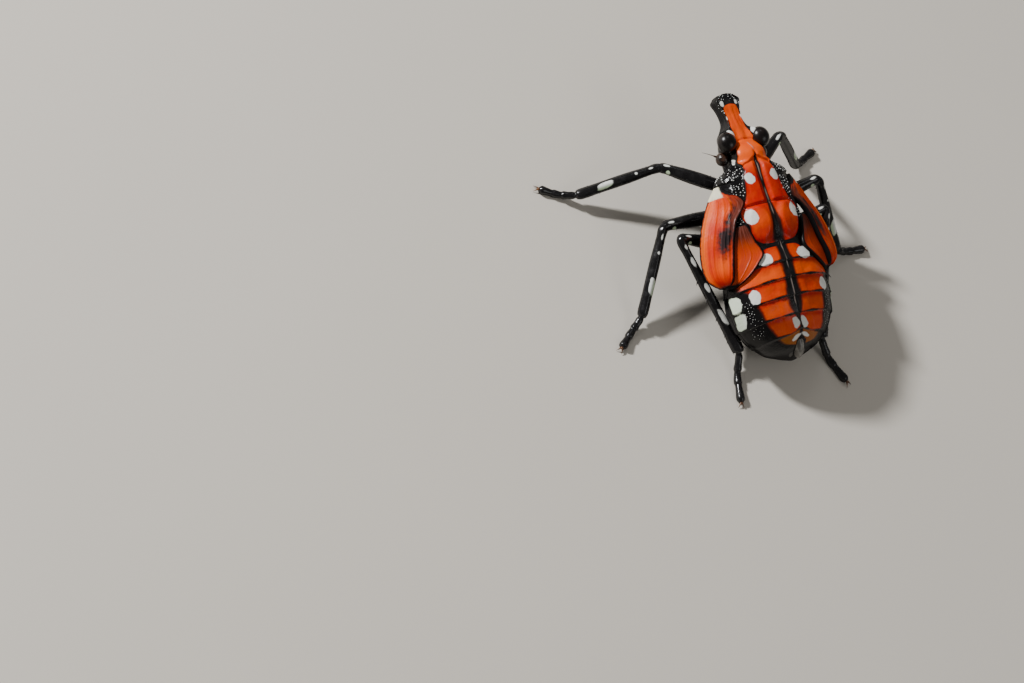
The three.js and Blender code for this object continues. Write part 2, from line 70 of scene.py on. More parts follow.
shift = frameShift()
tail = np.array([0.0, cosPitch, -sinPitch])
back = np.array([0.0, sinPitch, cosPitch])


def onFloorAxes(points):
    # body millimetres (x, s, h) to floor millimetres: notch height + s along the tail + h along the back
    points = np.asarray(points, float)
    spot = points[..., :1] * np.array([1.0, 0, 0]) + points[..., 1:2] * tail + points[..., 2:3] * back
    return spot + np.array([0, 0, pose["notchHeight"]])


def inFrame(floorPoints):
    return (np.asarray(floorPoints, float) + shift) * mm


def onBody(points):
    return inFrame(onFloorAxes(points))


print("frame loaded, shift", shift.round(3))


# curves and meshes

def curveThrough(knots, at):
    # smooth line through knots [place, value]: each span is a cubic whose end slopes are the
    # rise over run between the two neighbouring knots; level beyond both ends
    knots = np.asarray(knots, float)
    px, py = knots[:, 0], knots[:, 1]
    low = np.maximum(np.arange(len(px)) - 1, 0)
    high = np.minimum(np.arange(len(px)) + 1, len(px) - 1)
    slope = (py[high] - py[low]) / (px[high] - px[low])
    at = np.clip(np.asarray(at, float), px[0], px[-1])
    i = np.clip(np.searchsorted(px, at, side="right") - 1, 0, len(px) - 2)
    span = px[i + 1] - px[i]
    t = (at - px[i]) / span
    start = (1 + 2 * t) * (1 - t) ** 2 * py[i] + t * (1 - t) ** 2 * span * slope[i]
    return start + t * t * (3 - 2 * t) * py[i + 1] - t * t * (1 - t) * span * slope[i + 1]


def smooth(low, high, value):
    # nought below low, one above high, three t squared less two t cubed between
    t = np.clip((value - low) / (high - low), 0, 1)
    return t * t * (3 - 2 * t)


def fade(low, high, value):
    return 1 - smooth(low, high, value)


def bump1(value, centre, width):
    # bell of height one
    return np.exp(-((value - centre) / width) ** 2)


def roundTurns(count):
    return np.linspace(0, 2 * math.pi, count, endpoint=False)


def gridMesh(name, points, attributes=None, uv=None, flip=False):
    # rows of points, each row closed on itself, with a fan to the middle of the first and last row
    rows, count = points.shape[:2]
    verts = points.reshape(-1, 3)
    here = np.arange(rows - 1)[:, None] * count + np.arange(count)[None, :]
    following = np.arange(rows - 1)[:, None] * count + (np.arange(count)[None, :] + 1) % count
    quads = np.stack([here, following, following + count, here + count], -1).reshape(-1, 4)
    faces = [tuple(q) for q in quads.tolist()]
    for row, turn in ((0, True), (rows - 1, False)):
        middle = len(verts)
        verts = np.vstack([verts, points[row].mean(0)])
        ends = [(row * count + k, row * count + (k + 1) % count) for k in range(count)]
        faces += [(q, p, middle) if turn else (p, q, middle) for p, q in ends]
    if flip:
        faces = [tuple(reversed(f)) for f in faces]
    mesh = bpy.data.meshes.new(name)
    mesh.from_pydata(verts.tolist(), [], faces)
    for key, values in (attributes or {}).items():
        values = np.asarray(values, float).reshape(rows, count)
        middles = [values[0].mean(), values[-1].mean()]
        layer = mesh.attributes.new(key, "FLOAT", "POINT")
        layer.data.foreach_set("value", np.concatenate([values.ravel(), middles]))
    if uv is not None:
        loops = np.empty(len(mesh.loops), int)
        mesh.loops.foreach_get("vertex_index", loops)
        flat = np.vstack([uv.reshape(-1, 2), uv[0].mean(0), uv[-1].mean(0)])
        layer = mesh.uv_layers.new(name="padMap")
        layer.data.foreach_set("uv", flat[loops].ravel())
    mesh.polygons.foreach_set("use_smooth", [True] * len(mesh.polygons))
    mesh.update()
    return mesh


def joinShapes(name, shapes):
    # one mesh from many small closed shapes, each (points, faces)
    verts, faces, base = [], [], 0
    for points, shapeFaces in shapes:
        verts.append(points)
        faces += [tuple(int(k) + base for k in face) for face in shapeFaces]
        base += len(points)
    mesh = bpy.data.meshes.new(name)
    mesh.from_pydata(np.vstack(verts).tolist(), [], faces)
    mesh.polygons.foreach_set("use_smooth", [True] * len(mesh.polygons))
    mesh.update()
    return mesh


def place(name, mesh, material, slotName, replaced=()):
    piece = bpy.data.objects.new(name, mesh)
    bpy.context.collection.objects.link(piece)
    mesh.materials.append(material)
    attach(piece, "root")
    if replaced:
        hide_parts(*replaced)


def placeGrid(name, points, material, slotName, replaced=()):
    # a plain piece from a grid in body millimetres
    place(name, gridMesh(name, onBody(points), flip=True), material, slotName, replaced)


# node groups and materials

def newGroup(name, inputs, outputs):
    group = bpy.data.node_groups.new(name, "ShaderNodeTree")
    for label, kind, value in inputs:
        socket = group.interface.new_socket(label, in_out="INPUT", socket_type=kind)
        if value is not None:
            socket.default_value = value
    for label, kind in outputs:
        group.interface.new_socket(label, in_out="OUTPUT", socket_type=kind)
    return group, group.nodes.new("NodeGroupInput"), group.nodes.new("NodeGroupOutput")


def setOrLink(tree, socket, value):
    if isinstance(value, (int, float)):
        socket.default_value = value
    elif isinstance(value, tuple):
        socket.default_value = (*value, 1.0)
    else:
        tree.links.new(value, socket)


def calculate(tree, operation, first, second, clamp=False):
    node = tree.nodes.new("ShaderNodeMath")
    node.operation = operation
    node.use_clamp = clamp
    setOrLink(tree, node.inputs[0], first)
    setOrLink(tree, node.inputs[1], second)
    return node.outputs[0]


def wavered(tree, value, noise, amount, clamp=False):
    # the value plus a noise centred on nought, times the amount
    centred = calculate(tree, "SUBTRACT", noise, 0.5)
    return calculate(tree, "ADD", value, calculate(tree, "MULTIPLY", centred, amount), clamp)


def noiseAt(tree, vector, scale, detail=3.0, roughness=0.5):
    node = tree.nodes.new("ShaderNodeTexNoise")
    setOrLink(tree, node.inputs["Scale"], scale)
    node.inputs["Detail"].default_value = detail
    node.inputs["Roughness"].default_value = roughness
    tree.links.new(vector, node.inputs["Vector"])
    return node.outputs["Fac"]


def mapRange(tree, value, low, high, toLow=0.0, toHigh=1.0):
    node = tree.nodes.new("ShaderNodeMapRange")
    node.interpolation_type = "SMOOTHSTEP"
    for label, number in (("From Min", low), ("From Max", high), ("To Min", toLow), ("To Max", toHigh)):
        setOrLink(tree, node.inputs[label], number)
    tree.links.new(value, node.inputs["Value"])
    return node.outputs["Result"]


def makeEdgeGroup():
    # a marking's mask from its signed distance in millimetres, its edge wandering with a noise
    group, inner, outer = newGroup(
        "markingEdge",
        [("Vector", "NodeSocketVector", None), ("Distance", "NodeSocketFloat", 0.0),
         ("Wander", "NodeSocketFloat", 0.05), ("Softness", "NodeSocketFloat", 0.02),
         ("Grain", "NodeSocketFloat", 5000.0)],
        [("Mask", "NodeSocketFloat")])
    noise = noiseAt(group, inner.outputs["Vector"], inner.outputs["Grain"])
    centred = calculate(group, "SUBTRACT", noise, 0.5)
    moved = calculate(group, "MULTIPLY", centred, inner.outputs["Wander"])
    twice = calculate(group, "MULTIPLY", moved, 2.0)
    distance = calculate(group, "ADD", inner.outputs["Distance"], twice)
    low = calculate(group, "MULTIPLY", inner.outputs["Softness"], -1.0)
    group.links.new(mapRange(group, distance, low, inner.outputs["Softness"]), outer.inputs["Mask"])
    return group


def makeCuticleGroup():
    # fine wrinkles and pits of insect cuticle: a height, and a slow mottle for colour and gloss
    group, inner, outer = newGroup(
        "cuticleGrain",
        [("Vector", "NodeSocketVector", None), ("Pit Scale", "NodeSocketFloat", 9000.0),
         ("Pit Depth", "NodeSocketFloat", 0.5), ("Mottle Scale", "NodeSocketFloat", 1800.0)],
        [("Height", "NodeSocketFloat"), ("Mottle", "NodeSocketFloat")])
    cells = group.nodes.new("ShaderNodeTexVoronoi")
    cells.feature = "SMOOTH_F1"
    cells.inputs["Smoothness"].default_value = 0.6
    group.links.new(inner.outputs["Vector"], cells.inputs["Vector"])
    group.links.new(inner.outputs["Pit Scale"], cells.inputs["Scale"])
    pits = calculate(group, "MULTIPLY", cells.outputs["Distance"], inner.outputs["Pit Depth"])
    fine = noiseAt(group, inner.outputs["Vector"], 16000.0, 4.0, 0.6)
    height = calculate(group, "ADD", pits, calculate(group, "MULTIPLY", fine, 0.5))
    group.links.new(height, outer.inputs["Height"])
    mottle = noiseAt(group, inner.outputs["Vector"], inner.outputs["Mottle Scale"], 4.0)
    group.links.new(mottle, outer.inputs["Mottle"])
    return group


edgeGroup = makeEdgeGroup()
cuticleGroup = makeCuticleGroup()


def placeGroup(tree, group, vector, values):
    node = tree.nodes.new("ShaderNodeGroup")
    node.node_tree = group
    tree.links.new(vector, node.inputs["Vector"])
    for label, value in values.items():
        setOrLink(tree, node.inputs[label], value)
    return node


def attributeOf(tree, key):
    node = tree.nodes.new("ShaderNodeAttribute")
    node.attribute_name = key
    return node.outputs["Fac"]


def markMask(tree, vector, key, wander, softness, grain=5000.0):
    # mask of the marking whose signed distance is kept in the attribute
    node = placeGroup(tree, edgeGroup, vector, {"Distance": attributeOf(tree, key), "Wander": wander,
                                                "Softness": softness, "Grain": grain})
    return node.outputs["Mask"]


def mixColour(tree, factor, first, second):
    node = tree.nodes.new("ShaderNodeMix")
    node.data_type = "RGBA"
    for index, value in ((0, factor), (6, first), (7, second)):
        setOrLink(tree, node.inputs[index], value)
    return node.outputs[2]


def startMaterial(name):
    material = bpy.data.materials.new(name)
    material.use_nodes = True
    tree = material.node_tree
    shader = tree.nodes["Principled BSDF"]
    coords = tree.nodes.new("ShaderNodeTexCoord")
    return material, tree, shader, coords.outputs["Object"]


def startCuticle(name, pitScale, mottleScale):
    material, tree, shader, vector = startMaterial(name)
    grain = placeGroup(tree, cuticleGroup, vector, {"Pit Scale": pitScale, "Mottle Scale": mottleScale})
    return material, tree, shader, vector, grain.outputs["Height"], grain.outputs["Mottle"]


def coat(shader, weight, roughness):
    shader.inputs["Coat Weight"].default_value = weight
    shader.inputs["Coat Roughness"].default_value = roughness


def glossFaceOn(tree, shader, level):
    # gloss where the surface faces the eye, none at its grazing edges, which mirror the pale floor
    edge = tree.nodes.new("ShaderNodeLayerWeight")
    edge.inputs["Blend"].default_value = 0.5
    tree.links.new(mapRange(tree, edge.outputs["Facing"], 0.3, 0.8, level, 0.0),
                   shader.inputs["Specular IOR Level"])


def bumpFrom(tree, shader, height, strength, distance):
    bump = tree.nodes.new("ShaderNodeBump")
    bump.inputs["Strength"].default_value = strength
    bump.inputs["Distance"].default_value = distance
    tree.links.new(height, bump.inputs["Height"])
    tree.links.new(bump.outputs["Normal"], shader.inputs["Normal"])


cuticleColours = {
    "orange": (0.93, 0.105, 0.0),
    "red": (0.54, 0.006, 0.0),
    "amber": (0.36, 0.10, 0.006),
    "smoke": (0.022, 0.005, 0.004),
    # pale tone of the highlight painted along the carina
    "carinaHighlight": (0.42, 0.34, 0.30),
    "black": (0.0065, 0.006, 0.0065),
    "blackGrey": (0.017, 0.016, 0.017),
    "white": (0.86, 0.87, 0.82),
    "paleGreen": (0.60, 0.74, 0.50),
    "cream": (0.80, 0.76, 0.56),
    "paleOrange": (0.90, 0.16, 0.005),
    "darkBrown": (0.035, 0.008, 0.005),
    "lightBrown": (0.22, 0.055, 0.035),
    "blotchStripe": (0.045, 0.026, 0.028),
    "eyeBlack": (0.003, 0.002, 0.002),
    "eyeBrown": (0.012, 0.006, 0.005),
}


def bodyMaterial():
    # red to orange by the warm attribute, black and white over it by their signed distances
    c = cuticleColours
    material, tree, shader, vector, height, mottle = startCuticle("nymphCuticle", 7000.0, 1500.0)
    warm = wavered(tree, attributeOf(tree, "warm"), mottle, 1.1, True)
    base = mixColour(tree, warm, c["orange"], c["red"])
    base = mixColour(tree, attributeOf(tree, "amber"), base, c["amber"])
    smoke = wavered(tree, attributeOf(tree, "smoke"), mottle, 0.9)
    base = mixColour(tree, mapRange(tree, smoke, 0.15, 0.95), base, c["smoke"])
    black = markMask(tree, vector, "black", 0.035, 0.035)
    blackTone = mixColour(tree, mapRange(tree, mottle, 0.45, 0.75), c["black"], c["blackGrey"])
    base = mixColour(tree, black, base, blackTone)
    # painted highlight: a pale line along the carina, mixed over the base colour
    carinaHighlight = mapRange(tree, attributeOf(tree, "carinaHighlightLine"), 0.1, 0.9, 0.0, 0.55)
    base = mixColour(tree, carinaHighlight, base, c["carinaHighlight"])
    white = markMask(tree, vector, "white", 0.11, 0.025, 2600.0)
    whiteTone = mixColour(tree, attributeOf(tree, "green"), c["white"], c["paleGreen"])
    base = mixColour(tree, white, base, whiteTone)
    tree.links.new(base, shader.inputs["Base Color"])
    rough = mapRange(tree, mottle, 0.3, 0.7, 0.30, 0.42)
    rough = calculate(tree, "SUBTRACT", rough, calculate(tree, "MULTIPLY", black, 0.17))
    rough = calculate(tree, "ADD", rough, calculate(tree, "MULTIPLY", white, 0.3))
    tree.links.new(rough, shader.inputs["Roughness"])
    glossFaceOn(tree, shader, 0.25)
    coat(shader, 0.04, 0.12)
    bumpFrom(tree, shader, height, 0.4, 0.00004)
    return material


def legMaterial():
    # glossy black with white spots, pale green where a spot turns under
    c = cuticleColours
    material, tree, shader, vector, height, mottle = startCuticle("legCuticle", 11000.0, 3000.0)
    base = mixColour(tree, mapRange(tree, mottle, 0.4, 0.8), c["black"], c["blackGrey"])
    white = markMask(tree, vector, "white", 0.04, 0.02)
    tone = mixColour(tree, attributeOf(tree, "green"), c["white"], c["paleGreen"])
    tree.links.new(mixColour(tree, white, base, tone), shader.inputs["Base Color"])
    rough = mapRange(tree, mottle, 0.3, 0.7, 0.14, 0.24)
    rough = calculate(tree, "ADD", rough, calculate(tree, "MULTIPLY", white, 0.25))
    tree.links.new(rough, shader.inputs["Roughness"])
    glossFaceOn(tree, shader, 0.4)
    coat(shader, 0.04, 0.08)
    bumpFrom(tree, shader, height, 0.3, 0.00002)
    return material


def padMaterial():
    # leathery wing pad: warm lengthwise streaks, dark striped blotch, brown inner base, black rim
    c = cuticleColours
    material, tree, shader, vector, height, mottle = startCuticle("wingPadCuticle", 6000.0, 1300.0)
    uvNode = tree.nodes.new("ShaderNodeUVMap")
    uvNode.uv_map = "padMap"
    stretch = tree.nodes.new("ShaderNodeMapping")
    stretch.inputs["Scale"].default_value = (26.0, 2.4, 1.0)  # many streaks across, few along
    tree.links.new(uvNode.outputs["UV"], stretch.inputs["Vector"])
    streak = noiseAt(tree, stretch.outputs["Vector"], 1.0, 3.0, 0.6)
    warm = wavered(tree, attributeOf(tree, "warm"), streak, 0.9)
    warm = wavered(tree, warm, mottle, 0.8, True)
    base = mixColour(tree, warm, c["orange"], c["red"])
    base = mixColour(tree, attributeOf(tree, "pale"), base, c["paleOrange"])
    brown = mixColour(tree, mapRange(tree, streak, 0.35, 0.7), c["darkBrown"], c["lightBrown"])
    shade = wavered(tree, attributeOf(tree, "shade"), streak, 0.7, True)
    base = mixColour(tree, shade, base, brown)
    dark = mixColour(tree, mapRange(tree, streak, 0.42, 0.6), c["black"], c["blotchStripe"])
    base = mixColour(tree, markMask(tree, vector, "blotch", 0.22, 0.16, 4200.0), base, dark)
    base = mixColour(tree, markMask(tree, vector, "black", 0.05, 0.04), base, c["black"])
    base = mixColour(tree, markMask(tree, vector, "white", 0.05, 0.03), base, c["cream"])
    tree.links.new(base, shader.inputs["Base Color"])
    tree.links.new(mapRange(tree, mottle, 0.3, 0.7, 0.30, 0.46), shader.inputs["Roughness"])
    glossFaceOn(tree, shader, 0.12)
    coat(shader, 0.02, 0.14)
    streaked = calculate(tree, "ADD", height, calculate(tree, "MULTIPLY", streak, 1.2))
    bumpFrom(tree, shader, streaked, 0.35, 0.00003)
    return material


def eyeMaterial():
    # dark eye of close facets with a soft brown cast
    c = cuticleColours
    material, tree, shader, vector = startMaterial("eyeFacets")
    cells = tree.nodes.new("ShaderNodeTexVoronoi")
    cells.inputs["Scale"].default_value = 24000.0
    tree.links.new(vector, cells.inputs["Vector"])
    tone = noiseAt(tree, vector, 1400.0, 2.0, 0.5)
    base = mixColour(tree, mapRange(tree, tone, 0.35, 0.7), c["eyeBlack"], c["eyeBrown"])
    tree.links.new(base, shader.inputs["Base Color"])
    tree.links.new(mapRange(tree, tone, 0.3, 0.7, 0.26, 0.34), shader.inputs["Roughness"])
    shader.inputs["Specular IOR Level"].default_value = 0.4
    facets = calculate(tree, "MULTIPLY", cells.outputs["Distance"], -1.0)
    bumpFrom(tree, shader, facets, 0.25, 0.000006)
    return material


def hornyMaterial(name, first, second, roughness):
    # spines, claws, feelers, granules and beak: one tone running into another
    material, tree, shader, vector, height, mottle = startCuticle(name, 14000.0, 4000.0)
    tree.links.new(mixColour(tree, mapRange(tree, mottle, 0.35, 0.7), first, second),
                   shader.inputs["Base Color"])
    tree.links.new(mapRange(tree, mottle, 0.3, 0.7, roughness, roughness + 0.12),
                   shader.inputs["Roughness"])
    shader.inputs["Coat Weight"].default_value = 0.2
    bumpFrom(tree, shader, height, 0.3, 0.000015)
    return material


skinLook = bodyMaterial()
legLook = legMaterial()
padLook = padMaterial()
eyeLook = eyeMaterial()
brownLook = hornyMaterial("feelerCuticle", (0.008, 0.004, 0.003), (0.05, 0.02, 0.010), 0.24)
blackLook = hornyMaterial("spineCuticle", (0.006, 0.005, 0.005), (0.02, 0.017, 0.016), 0.26)
# raised grains whose pale colour is a painted highlight for the glints on them
glintGranuleLook = hornyMaterial("glintPaintedGranules", (0.62, 0.63, 0.60), (0.85, 0.86, 0.84), 0.3)
clawLook = hornyMaterial("clawCuticle", (0.05, 0.018, 0.008), (0.22, 0.09, 0.03), 0.3)
greyLook = hornyMaterial("tubeCuticle", (0.10, 0.09, 0.08), (0.30, 0.29, 0.26), 0.35)
print("materials made")


# camera, floor and light

view = {
    "roundLeft": math.radians(33), "fromTail": math.radians(6.8), "roll": (0.978, 0.208),
    "distance": 240.0, "lens": 174.0,
    "notchRight": 11.76, "notchUp": 9.14,  # where the notch stands from the picture's middle
}


def placeCamera():
    # the photo's view: up from the back, turned to the insect's left and a little towards its tail
    cr, sr = math.cos(view["roundLeft"]), math.sin(view["roundLeft"])
    ct, st = math.cos(view["fromTail"]), math.sin(view["fromTail"])
    left = np.array([1.0, 0, 0])
    outward = st * tail + ct * back
    towards = sr * left + cr * outward
    across, along = -cr * left + sr * outward, ct * tail - st * back
    c, s = view["roll"]
    right, down = c * across + s * along, -s * across + c * along
    notch = onFloorAxes([0.0, 0.0, 0.0])
    aim = notch - view["notchRight"] * right + view["notchUp"] * down
    eyePoint = inFrame(aim + view["distance"] * towards)
    cameraData = bpy.data.cameras.new("camera")
    cameraData.lens = view["lens"]
    cameraData.sensor_width = 36
    cameraData.clip_start = 0.002
    camera = bpy.data.objects.new("camera", cameraData)
    bpy.context.collection.objects.link(camera)
    turn = Matrix((right, -down, towards)).transposed().to_4x4()
    camera.matrix_world = Matrix.Translation(Vector(eyePoint)) @ turn
    bpy.context.scene.camera = camera
    return right, down, towards


rightward, downward, towardsCamera = placeCamera()

stageLook = {
    "floorSize": 1.2, "floor": (0.74, 0.69, 0.61),
    "world": 0.17, "worldColour": (1.0, 0.98, 0.95, 1),
}


def makeStage():
    material, tree, shader, vector = startMaterial("paleFloor")
    tone = noiseAt(tree, vector, 60.0, 3.0, 0.5)
    low, high = stageLook["floor"], tuple(min(v * 1.06, 1) for v in stageLook["floor"])
    tree.links.new(mixColour(tree, tone, low, high), shader.inputs["Base Color"])
    shader.inputs["Roughness"].default_value = 0.85
    half = stageLook["floorSize"] / 2
    corners = [(-half, -half, 0), (half, -half, 0), (half, half, 0), (-half, half, 0)]
    mesh = bpy.data.meshes.new("floor")
    mesh.from_pydata(corners, [], [(0, 1, 2, 3)])
    mesh.materials.append(material)
    floor = bpy.data.objects.new("floor", mesh)
    bpy.context.collection.objects.link(floor)
    world = bpy.data.worlds.new("studio")
    world.use_nodes = True
    background = world.node_tree.nodes["Background"]
    background.inputs["Color"].default_value = stageLook["worldColour"]
    background.inputs["Strength"].default_value = stageLook["world"]
    bpy.context.scene.world = world


lights = {
    # direction in (image right, image down, towards the camera), distance and size in mm, power
    "key": {"from": (-0.8, -1.0, 0.8), "distance": 260, "size": 26, "power": 0.98},
    "fill": {"from": (1.2, 0.3, 0.8), "distance": 300, "size": 150, "power": 0.10},
    "rim": {"from": (0.3, -1.6, 0.6), "distance": 280, "size": 60, "power": 0.03},
}


def makeLights():
    middle = onFloorAxes([0.0, 3.0, -1.0])
    for name, values in lights.items():
        right, down, near = values["from"]
        direction = right * rightward + down * downward + near * towardsCamera
        direction = direction / np.linalg.norm(direction)
        lightData = bpy.data.lights.new(name, "AREA")
        lightData.shape = "DISK"
        lightData.size = values["size"] * mm
        lightData.energy = values["power"]
        light = bpy.data.objects.new(name, lightData)
        bpy.context.collection.objects.link(light)
        light.location = Vector(inFrame(middle + direction * values["distance"]))
        light.rotation_euler = Vector(-direction).to_track_quat("-Z", "Y").to_euler()


makeStage()
makeLights()
print("camera, floor and light set")


# body skin: head, horn, thorax and abdomen in one surface

bodyLines = {
    # height of back and belly, half-width, height of the widest place, and how square a ring is
    "top": [(-3.32, -1.0), (-2.75, -0.88), (-2.2, -0.84), (-1.5, -0.66), (-1.0, -0.52), (-0.5, -0.42),
            (0.0, -0.18), (0.4, 0.02), (0.8, 0.13), (2.1, 0.24), (3.4, 0.34), (4.4, 0.16), (5.6, 0.24),
            (7.0, 0.12), (8.2, -0.22), (9.2, -0.9), (9.8, -1.5), (10.05, -2.0)],
    "bottom": [(-3.32, -1.56), (-2.7, -1.5), (-2.1, -1.5), (-1.6, -1.75), (-1.0, -1.92), (-0.3, -1.86),
               (0.9, -1.8), (3.2, -2.1), (5.2, -2.9), (7.0, -3.1), (8.6, -3.0), (9.6, -2.7),
               (10.05, -2.3)],
    "half": [(-3.33, 0.12), (-3.24, 0.34), (-3.08, 0.60), (-3.0, 0.70), (-2.9, 0.72), (-2.6, 0.58),
             (-2.2, 0.47), (-1.85, 0.44), (-1.5, 0.6), (-1.25, 0.78), (-0.8, 0.86), (-0.3, 0.80),
             (0.2, 0.88), (0.45, 1.2), (0.84, 1.9), (1.3, 2.12), (3.0, 2.3), (4.6, 2.45), (5.6, 2.7),
             (6.8, 2.9), (7.6, 2.88), (8.6, 2.5), (9.4, 1.75), (9.9, 0.95), (10.05, 0.45)],
    "waist": [(-3.32, -1.25), (-2.2, -1.15), (-1.2, -1.2), (-0.3, -1.05), (0.9, -1.1), (3.0, -1.35),
              (6.0, -1.4), (8.6, -1.7), (10.05, -2.15)],
    "square": [(-3.32, 5.0), (-2.4, 4.6), (-1.9, 4.0), (-1.3, 4.2), (-0.9, 3.2), (-0.5, 2.3),
               (10.05, 2.1)],
}
bodyShape = {
    "front": -3.33, "rear": 10.05, "rearRound": 0.55, "tipBevel": 0.07,
    "discHalf": [(-0.8, 0.02), (-0.76, 0.34), (-0.64, 0.56), (-0.35, 0.76), (0.1, 0.84), (0.45, 0.86)],
    # the pronotum's rear edge, by distance from the midline
    "rearEdge": [(0.0, 0.08), (0.15, 0.18), (0.4, 0.34), (0.7, 0.46), (0.95, 0.84), (1.2, 1.02),
                 (1.6, 1.12), (2.1, 1.1)],
    "metanotumFront": 2.5, "abdomenFront": 4.56,
    "tergiteEdges": (5.44, 6.28, 7.16, 8.05, 8.95), "tergiteBow": 0.22, "lastPeak": 0.2,
    # the abdomen is bent a little to its left, then its tip to its right
    "sway": [(0, 0), (1.2, 0.14), (4.4, 0.14), (7.4, 0.18), (8.1, 0.14), (8.7, -0.05), (9.3, -0.1)],
    "tailBend": [(7.4, 0.0), (8.6, -0.11), (10.05, -0.3)],
}
reliefHeight = {
    # how far each form stands off the plain rings, or sinks into them
    "disc": 0.25, "discRim": 0.06, "discRidge": 0.02, "discCarina": 0.035, "discGroove": 0.07,
    "pronotumStep": 0.07, "thoraxGroove": 0.07, "thoraxCarina": 0.06, "mesonotumPanel": 0.10,
    "metanotumLobe": 0.17, "metanotumCrease": 0.04, "rearKnob": 0.1, "wingBase": 0.08,
    "tergiteStep": 0.09, "abdomenCarina": 0.045, "tergiteDent": 0.03, "sideFold": 0.1, "sideRidge": 0.05,
    "eyeRim": 0.09, "eyePlate": 0.30, "crownHollow": 0.05, "discCrease": 0.05,
    "hornKeel": 0.09, "lowerKeel": 0.07, "tipHollow": 0.10, "hornCarina": 0.035, "hornSide": 0.08,
    "tipRim": 0.03,
}


def sectionPoint(s, angle):
    # superellipse ring: x is the half-width times sin to a power, h leaves the waist by cos to a power
    power = 2 / curveThrough(bodyLines["square"], s)
    waist = curveThrough(bodyLines["waist"], s)
    u, v = np.sin(angle), np.cos(angle)
    x = curveThrough(bodyLines["half"], s) * np.sign(u) * np.abs(u) ** power
    reach = np.where(v > 0, curveThrough(bodyLines["top"], s) - waist,
                     waist - curveThrough(bodyLines["bottom"], s))
    return x, waist + np.sign(v) * reach * np.abs(v) ** power


def backHeight(s, x):
    # height of the back over a point off the midline: the ring's formula solved for h
    power = 2 / curveThrough(bodyLines["square"], s)
    half = curveThrough(bodyLines["half"], s)
    u = np.minimum(np.abs(x) / half, 1) ** (1 / power)
    waist = curveThrough(bodyLines["waist"], s)
    return waist + (curveThrough(bodyLines["top"], s) - waist) * np.sqrt(1 - u * u) ** power


def turnedFromTop(angle):
    # nought on the midline of the back, half a turn on that of the belly, alike on both sides
    return np.abs(np.angle(np.exp(1j * angle)))


def lastEdgePeak(ax, isLast):
    # the last rear edge runs forward to a point on the midline
    return bodyShape["lastPeak"] * bump1(ax, 0, 0.4) if isLast else 0.0


